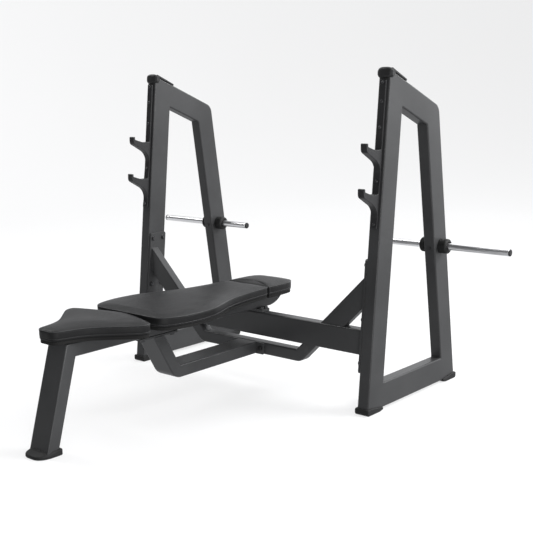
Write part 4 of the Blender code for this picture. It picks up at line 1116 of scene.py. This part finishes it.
# --- bench ------------------------------------------------------------------------
@dataclass
class BenchFrame:
    """The bench's steel: beam and leg, strut and lower spine, flanges, bolts, straps."""

    finishes: Finishes
    leg_lean: float = math.radians(15.7)
    strut_lean: float = math.radians(30.0)
    nose_radius: float = 0.117
    tube_slim: float = 0.050
    rim: float = 0.0065
    strut_bend: float = 0.035
    strap_half: float = 0.025
    fine_weld: float = 0.0026
    bolt_groups: tuple[tuple[str, str, tuple[int, int, int], tuple[float, float]], ...] = (
        ("saddle", "saddle_plate", (0, 0, 1), (0.130, 0.026)),
        ("strut", "strut_flange", (0, 0, -1), (0.072, 0.150)),
        ("spine", "spine_flange", (0, -1, 0), (0.146, 0.0)))

    def build(self) -> None:
        """Build every piece."""
        self.build_spine()
        self.build_leg_boot()
        self.build_strut()
        self.build_plates()
        self.build_straps()

    def build_spine(self) -> None:
        """Bench beam and front leg, mitred and ground into one."""
        low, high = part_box("bench_beam")
        leg_low, leg_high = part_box("front_leg")
        corner = Vector((leg_high.y - self.mitre_back(), high.z))
        down = Vector((-math.sin(self.leg_lean), -math.cos(self.leg_lean)))
        floor = Vector((0, leg_low.z))
        level = Vector((1, 0))
        front_low = meet(corner, down, floor, level)
        back = corner + left_of(down) * self.tube_slim
        back_low = meet(back, down, floor, level)
        back_high = meet(back, down, Vector((0, low.z)), level)
        sweep = math.acos(1 - self.tube_slim / self.nose_radius)
        centre = Vector((high.y - self.nose_radius * math.sin(sweep), low.z + self.nose_radius))
        arc = [centre + self.nose_radius * Vector((math.sin(sweep * s / 16),
                                                   -math.cos(sweep * s / 16))) for s in range(17)]
        outline = [front_low, back_low, back_high, *arc, corner]
        maker = Maker().slab(outline, side_view, low.x, high.x, self.rim, 5)
        maker.piece("bench_spine_tube", self.finishes.charcoal, "bench_beam", "front_leg")

    def mitre_back(self) -> float:
        """How far the leg reaches back from its top front corner."""
        angle = (math.pi / 2 + self.leg_lean) / 2
        return self.tube_slim / math.tan(angle)

    def build_leg_boot(self) -> None:
        """The slipper-shaped boot under the leg."""
        low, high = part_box("front_leg_boot")
        leg_low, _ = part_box("front_leg")
        front = leg_low.y

        def plan(tip: float, shrink: float) -> list[Vector]:
            """Plan outline: rounded tip, straight sides, square heel."""
            half, start, heel = high.x - shrink, tip + 0.058, high.y - shrink
            outline = []
            for step in range(41):
                angle = math.pi * (1 + step / 40)
                across, along = math.cos(angle), math.sin(angle)
                outline.append(Vector((half * math.copysign(abs(across) ** 0.6, across),
                                       start - (start - tip) * abs(along))))
            return [*outline, Vector((half, heel - 0.006)), Vector((half - 0.0018, heel - 0.0018)),
                    Vector((half - 0.006, heel)), Vector((0.006 - half, heel)),
                    Vector((0.0018 - half, heel - 0.0018)), Vector((-half, heel - 0.006))]

        toe = low.y
        levels = ((0.0, toe + 0.003, 0.003), (0.001, toe + 0.001, 0.001), (0.003, toe, 0.0),
                  (0.010, toe + 0.0004, 0.0), (0.0125, toe + 0.0022, 0.0),
                  (high.z - 0.003, front - 0.009, 0.0), (high.z - 0.001, front - 0.0065, 0.001),
                  (high.z, front - 0.005, 0.0028))
        maker = Maker().loft([[plan_view(point, height) for point in plan(tip, shrink)]
                              for height, tip, shrink in levels])
        maker.piece("leg_boot_rubber", self.finishes.rubber, "front_leg_boot")

    def build_strut(self) -> None:
        """The slanted strut and the lower spine, bent from one tube."""
        low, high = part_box("strut")
        spine_low, spine_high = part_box("lower_spine")
        down = Vector((math.sin(self.strut_lean), -math.cos(self.strut_lean)))
        level = Vector((1, 0))
        wide = self.tube_slim / math.cos(self.strut_lean)
        top = Vector((0, high.z + 0.006))
        front = Vector((low.y, high.z))
        rear = Vector((low.y + wide, high.z))
        end = spine_high.y + 0.006
        base = spine_low.z
        lid = base + self.tube_slim
        corners = [(*meet(front, down, top, level), 0.0),
                   (*meet(front, down, Vector((0, base)), level), self.strut_bend + self.tube_slim / 2),
                   (end, base, 0.0), (end, lid, 0.0),
                   (*meet(rear, down, Vector((0, lid)), level), self.strut_bend - self.tube_slim / 2),
                   (*meet(rear, down, top, level), 0.0)]
        maker = Maker().slab(rounded(corners, 12), side_view, low.x, high.x, self.rim, 5)
        for x in (low.x, high.x):
            maker.bead((x, low.y + 0.004, high.z), (x, low.y + wide - 0.006, high.z),
                       self.fine_weld)
        maker.piece("strut_and_spine_tube", self.finishes.charcoal, "strut", "lower_spine")

    def build_plates(self) -> None:
        """The three flanges, then the heads of their bolts."""
        for name, plane, (right, up, through) in (("saddle_plate", plan_view, (0, 1, 2)),
                                                  ("strut_flange", plan_view, (0, 1, 2)),
                                                  ("spine_flange", front_view, (0, 2, 1))):
            low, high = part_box(name)
            corners = rectangle((low[right], low[up]), (high[right], high[up]), 0.008)
            maker = Maker().slab(rounded(corners), plane, low[through], high[through], 0.0012)
            maker.piece(f"{name}_coated", self.finishes.charcoal, name)
        for group, plate, axis, (wide, long) in self.bolt_groups:
            low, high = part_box(plate)
            face = (low + high) / 2 + Vector(axis) * abs((high - low).dot(Vector(axis))) / 2
            maker = Maker()
            for x in (-0.5, 0.5):
                for y in (-0.5, 0.5) if long else (0.0,):
                    maker.hex_bolt(face + Vector((x * wide, y * long, 0.0)), axis)
            maker.piece(f"{group}_bolt_heads", self.finishes.black_steel, f"{plate}_bolts")

    def build_straps(self) -> None:
        """Pad straps, each with the head of the bolt below the beam."""
        for name in ("seat_front", "seat_rear", "back_front", "back_rear", "head"):
            node = f"{name}_strap"
            low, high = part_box(node)
            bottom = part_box("bench_beam")[1].z + GAP
            y = (low.y + high.y) / 2
            corners = rectangle((low.x, y - self.strap_half), (high.x, y + self.strap_half), 0.004)
            maker = Maker().slab(rounded(corners, 4), plan_view, bottom, bottom + 0.003, 0.0006, 2)
            maker.piece(f"{node}_steel", self.finishes.charcoal, node)
            maker = Maker().hex_bolt((0, y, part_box("bench_beam")[0].z), (0, 0, -1))
            maker.piece(f"{name}_pad_bolt_head", self.finishes.black_steel)


# --- pads -------------------------------------------------------------------------
class Hold(Enum):
    """Whether a ring of a pad's skin is held or free; the value is its pinning weight."""

    PINNED = 1.0
    FREE = 0.0


@dataclass
class Pad:
    """One upholstered pad: a stuffed skin, its welt, its stitches and its board."""

    name: str
    finishes: Finishes
    crown: float = 0.0010
    cap: float = 0.006
    side_cap: float = 0.0008
    sideways: float = 0.25
    fill: float = 0.9
    points: int = 168
    rings: int = 12
    seam_drop: float = 0.0055
    hem_rise: float = 0.0085
    pressure: float = 4.0
    stiffness: float = 12.0
    last_frame: int = 20
    stitch_pitch: float = 0.0062

    def __post_init__(self) -> None:
        """Take the outline from the CAD cushion's widest ring."""
        self.low, self.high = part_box(f"{self.name}_pad")
        self.top = self.high.z - 0.0008
        self.seam = self.top - self.seam_drop
        self.hem = self.low.z + self.hem_rise
        cushion = bpy.data.objects[f"{self.name}_pad"]
        level = self.high.z - 0.010
        spots = {(round(v.co.x, 5), round(v.co.y, 5)) for v in cushion.data.vertices
                 if abs(v.co.z - level) < 0.0004}
        centre = Vector((0.0, (self.low.y + self.high.y) / 2 + self.bias()))
        ring = sorted((Vector(spot) for spot in spots),
                      key=lambda spot: math.atan2(spot.y - centre.y, spot.x))
        self.outline = self.resample(ring)

    def bias(self) -> float:
        """Shift of the centre that the outline is sorted around."""
        return 0.05 if self.name == "seat" else -0.08 if self.name == "back" else 0.0

    def resample(self, ring: Outline) -> Outline:
        """Spread points evenly along a smooth curve through a ring.

        Args:
            ring: The ring's points, anticlockwise.

        Returns:
            The resampled outline.
        """
        curve: Outline = []
        for index in range(len(ring)):
            p0, p1, p2, p3 = (ring[(index + shift) % len(ring)] for shift in (-1, 0, 1, 2))
            for step in range(12):
                t = step / 12
                curve.append(0.5 * (2 * p1 + (p2 - p0) * t
                                    + (2 * p0 - 5 * p1 + 4 * p2 - p3) * t ** 2
                                    + (3 * p1 - p0 - 3 * p2 + p3) * t ** 3))
        closed = np.array([tuple(p) for p in curve + curve[:1]])
        lengths = np.concatenate([[0], np.cumsum(np.linalg.norm(np.diff(closed, axis=0), axis=1))])
        marks = np.linspace(0, lengths[-1], self.points, endpoint=False)
        xs = np.interp(marks, lengths, closed[:, 0])
        ys = np.interp(marks, lengths, closed[:, 1])
        return [Vector((x, y)) for x, y in zip(xs, ys)]

    def build(self) -> None:
        """Build the pad's pieces."""
        skin = self.build_skin()
        self.stuff(skin)
        self.finish_skin(skin)
        self.build_welt()
        self.build_stitches()
        self.build_board()

    def levels(self) -> list[tuple[float, float, Hold]]:
        """(height, inset, hold) of each ring up the pad's edge."""
        z, top, seam, hem = self.low.z, self.top, self.seam, self.hem
        pinned, free = Hold.PINNED, Hold.FREE
        return [(z, 0.010, pinned), (z, 0.004, pinned), (z + 0.0012, 0.0016, pinned),
                (hem - 0.0032, 0.0008, pinned), (hem - 0.0010, 0.0012, pinned),
                (hem, 0.0022, pinned), (hem + 0.0010, 0.0010, pinned),
                (hem + 0.0040, 0.0004, free), (hem + 0.0110, 0.0004, free),
                (seam - 0.0060, 0.0004, free), (seam - 0.0022, 0.0009, free),
                (seam - 0.0008, 0.0018, pinned), (seam, 0.0026, pinned),
                (seam + 0.0010, 0.0031, pinned), (top - 0.0018, 0.0062, free),
                (top - 0.0004, 0.0105, free), (top, 0.0165, free)]

    def build_skin(self) -> bpy.types.Object:
        """The cover as rings of quads, from the board up and over the crown."""
        levels = self.levels()
        rings = [[plan_view(point, z) for point in inset(self.outline, shrink)]
                 for z, shrink, _ in levels]
        edge = inset(self.outline, levels[-1][1])
        front = self.low.y + (0.030 if self.name == "seat" else 0.045)
        rear = self.high.y - 0.045
        for step in range(1, self.rings + 1):
            t = step / (self.rings + 1)
            rise = self.crown * (1 - (1 - t) ** 2)
            rings.append([plan_view(point.lerp(Vector((0.0, min(max(point.y, front), rear))), t),
                                    levels[-1][0] + rise) for point in edge])
        mesh = bmesh.new()
        made = weave(mesh, rings)
        mesh.faces.new(made[0][::-1])
        fill(mesh, made[-1])
        skin = place(mesh, f"{self.name}_cushion", self.finishes.vinyl.material)
        pins = skin.vertex_groups.new(name="sewn")
        for index, (_, _, hold) in enumerate(levels):
            span = range(index * self.points, (index + 1) * self.points)
            pins.add(list(span), hold.value, "REPLACE")
        return skin

    def stuff(self, skin: bpy.types.Object) -> None:
        """Blow the cover up with cloth pressure, held at the seam and the board.

        Args:
            skin: The cover.
        """
        rest = np.array([v.co for v in skin.data.vertices])
        cloth = skin.modifiers.new("stuffing", "CLOTH")
        settings = cloth.settings
        settings.quality = 6
        settings.mass = 0.2
        settings.tension_stiffness = settings.compression_stiffness = self.stiffness
        settings.bending_stiffness = 0.6
        settings.use_pressure = True
        settings.uniform_pressure_force = self.pressure
        settings.vertex_group_mass = "sewn"
        settings.effector_weights.gravity = 0
        scene = bpy.context.scene
        for frame in range(1, self.last_frame + 1):
            scene.frame_set(frame)
        evaluated = skin.evaluated_get(bpy.context.evaluated_depsgraph_get())
        blown = np.array([v.co for v in evaluated.data.vertices])
        skin.modifiers.remove(cloth)
        scene.frame_set(1)
        move = self.calmed(blown - rest)
        length = np.linalg.norm(move, axis=1, keepdims=True)
        move *= np.minimum(1.0, self.caps(len(move)) / np.maximum(length, 1e-9))
        placed = rest + move
        placed[:, 2] = np.maximum(placed[:, 2], self.low.z)
        skin.data.vertices.foreach_set("co", placed.astype(np.float32).ravel())
        skin.data.update()

    def caps(self, count: int) -> np.ndarray:
        """How far each point may move: little at the side, most at the middle of the top.

        Args:
            count: How many points the cover has.

        Returns:
            One cap for each point.
        """
        edge = len(self.levels())
        caps = []
        for ring in range(count // self.points):
            inward = max(0, ring - edge + 3)
            caps.append(self.side_cap + (self.cap - self.side_cap) * min(1.0, inward / 8))
        return np.repeat(caps, self.points)[:, None]

    def calmed(self, move: np.ndarray) -> np.ndarray:
        """Even out a movement round each ring, as tight vinyl over firm foam does.

        Args:
            move: How far each point moves.

        Returns:
            The calmer movement.
        """
        calm = move.reshape(-1, self.points, 3).copy()
        calm[:, :, :2] *= self.sideways
        for _ in range(6):
            calm = (np.roll(calm, 1, axis=1) + 2 * calm + np.roll(calm, -1, axis=1)) / 4
        return calm.reshape(-1, 3)

    def finish_skin(self, skin: bpy.types.Object) -> None:
        """Subdivide the cover and hand it to the frame.

        Args:
            skin: The cover.
        """
        smooth = skin.modifiers.new("smooth", "SUBSURF")
        smooth.levels = smooth.render_levels = 1
        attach(skin, BODY)
        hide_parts(f"{self.name}_pad")
        LOG.info("%s cushion: %d faces", self.name, len(skin.data.polygons))

    def build_welt(self) -> None:
        """The cord sewn in round the top edge, and the fine cord along the hem, both coloured lighter
        than the pad as a painted highlight.
        """
        maker = Maker()
        for height, radius in ((self.seam + 0.0004, 0.0016), (self.hem, 0.0008)):
            maker.cord([plan_view(point, height) for point in inset(self.outline, 0.0014)], radius)
        maker.piece(f"{self.name}_welt", self.finishes.welt)

    def build_stitches(self) -> None:
        """A row of stitches just below the cord."""
        line = inset(self.outline, 0.0003)
        height = self.seam - 0.0042
        closed = line + line[:1]
        maker = Maker()
        travelled, nearest = 0.0, 0.0
        for start, end in zip(closed, closed[1:]):
            way = (end - start).normalized()
            while nearest < travelled + (end - start).length:
                spot = start + way * (nearest - travelled)
                maker.turn(((-0.0021, 0.0002), (-0.0016, 0.00045), (0.0016, 0.00045),
                            (0.0021, 0.0002)), plan_view(spot, height),
                           Vector((way.x, way.y, 0.0)), 6)
                nearest += self.stitch_pitch
            travelled += (end - start).length
        maker.piece(f"{self.name}_stitches", self.finishes.thread)

    def build_board(self) -> None:
        """The board under the cushion."""
        low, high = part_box(f"{self.name}_board")
        maker = Maker().slab(inset(self.outline, 0.004), plan_view, low.z, high.z, 0.0008, 2)
        maker.piece(f"{self.name}_board_stained", self.finishes.board, f"{self.name}_board")


# --- studio -----------------------------------------------------------------------
@dataclass(frozen=True)
class Panel:
    """One soft panel: where it hangs, what it faces, its size and its radiance."""

    name: str
    place: tuple[float, float, float]
    aim: tuple[float, float, float]
    size: tuple[float, float]
    radiance: float

    def hang(self) -> None:
        """Hang the panel."""
        data = bpy.data.lights.new(self.name, "AREA")
        data.shape = "RECTANGLE"
        data.size, data.size_y = self.size
        data.energy = self.radiance * math.pi * self.size[0] * self.size[1]
        light = bpy.data.objects.new(self.name, data)
        light.location = self.place
        way = Vector(self.aim) - Vector(self.place)
        light.rotation_euler = way.to_track_quat("-Z", "Y").to_euler()
        light.visible_camera = False
        bpy.context.scene.collection.objects.link(light)


@dataclass
class Studio:
    """Pale seamless floor, soft lights and the camera."""

    camera_place: tuple[float, float, float] = (2.5667, -2.6886, 1.1912)
    camera_way: tuple[float, float, float] = (-0.63181, 0.75518, -0.17469)
    camera_roll: float = math.radians(-0.431)
    lens: float = 64.0
    shift: float = 1 / 533
    sensor: float = 36.0
    farthest: float = 60.0
    paper: float = 0.30
    paper_glow: float = 0.68
    bowl: tuple[float, float, float] = (6.5, 3.0, 14.0)
    air_low: float = 0.10
    air_high: float = 1.45
    air_behind: float = 0.55
    ground: float = 0.66
    panels: tuple[Panel, ...] = (
        Panel("side_panel", (3.2, 2.4, 2.9), (0.6, 0.3, 1.1), (1.7, 1.7), 16.0),
        Panel("edge_strip", (3.9, -3.1, 0.7), (0.4, 0.0, 0.5), (0.40, 1.5), 26.0),
        Panel("high_strip", (-2.5, -0.4, 3.7), (0.0, 0.0, 0.5), (0.60, 2.2), 13.0),
        Panel("top_panel", (0.2, 1.6, 4.4), (0.0, 0.2, 0.4), (3.4, 2.4), 1.1),
    )

    def build(self) -> None:
        """Build the studio."""
        self.build_floor()
        self.build_air()
        for panel in self.panels:
            panel.hang()
        self.build_camera()

    def build_floor(self) -> None:
        """A round paper floor that curves up into a wall all the way round."""
        recipe = Recipe.named("studio_paper")
        tone = self.paper
        cloud = recipe.noise(0.8, 3.0)
        base = recipe.blend((tone, tone, tone), (tone * 0.97, tone * 0.97, tone * 0.98), cloud)
        normal = recipe.bump(recipe.noise(300.0), 0.00005)
        material = recipe.close(base, 0.85 + (cloud - 0.5) * 0.1, normal,
                                Emission_Color=(1.0, 1.0, 1.0, 1.0),
                                Emission_Strength=self.paper_glow, Specular_IOR_Level=0.1)
        flat, cove, wall = self.bowl
        bend = [math.pi / 2 * step / 16 for step in range(17)]
        profile = [(flat + cove * math.sin(a), cove * (1 - math.cos(a))) for a in bend]
        around = [math.tau * side / 96 for side in range(96)]
        mesh = bmesh.new()
        rings = weave(mesh, [[(radius * math.cos(a), radius * math.sin(a), height - 0.0002)
                              for a in around] for radius, height in (*profile,
                                                                      (flat + cove, wall))])
        mesh.faces.new(rings[0])
        floor = place(mesh, "studio_floor", material)
        floor.visible_diffuse = floor.visible_glossy = floor.visible_shadow = False

    def build_air(self) -> None:
        """Surroundings that are bright behind and to the right, and dim in front and below."""
        world = bpy.data.worlds.new("studio_air")
        bpy.context.scene.world = world
        recipe = Recipe(world, "Generated")
        side = recipe.facing((0.75, 0.62, 0.25)).between(-0.25, 0.85)
        back = recipe.facing((-0.35, 0.80, 0.45)).between(0.05, 0.95)
        above = recipe.facing((0.0, 0.0, 1.0)).between(-0.12, 0.06)
        sky = self.air_low + side * (self.air_high - self.air_low) + back * self.air_behind
        strength = sky * above + self.ground * (1.0 - above)
        shader = recipe.node("ShaderNodeBackground", None,
                             {"Color": (0.97, 0.98, 1.0, 1.0), "Strength": strength})
        recipe.output("ShaderNodeOutputWorld", shader)

    def build_camera(self) -> None:
        """Set the camera."""
        data = bpy.data.cameras.new("camera")
        data.sensor_width = self.sensor
        data.lens = self.lens
        data.shift_y = self.shift
        data.clip_end = self.farthest
        camera = bpy.data.objects.new("camera", data)
        turn = Vector(self.camera_way).to_track_quat("-Z", "Y").to_matrix().to_4x4()
        turn = turn @ Matrix.Rotation(self.camera_roll, 4, "Z")
        turn.translation = self.camera_place
        camera.matrix_world = turn
        bpy.context.scene.collection.objects.link(camera)
        bpy.context.scene.camera = camera
        bpy.context.scene.view_settings.view_transform = "Standard"


def main() -> None:
    """Load the frame and build everything in order."""
    logging.basicConfig(level=logging.INFO, format="%(message)s")
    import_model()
    finishes = Finishes()
    frames = {side_name: SideFrame(side_name, finishes) for side_name in SIDES}
    for frame in frames.values():
        frame.build()
    CrossMembers(finishes, frames).build()
    BenchFrame(finishes).build()
    for name in ("seat", "back", "head"):
        Pad(name, finishes).build()
    Studio().build()


if __name__ == "__main__":
    main()
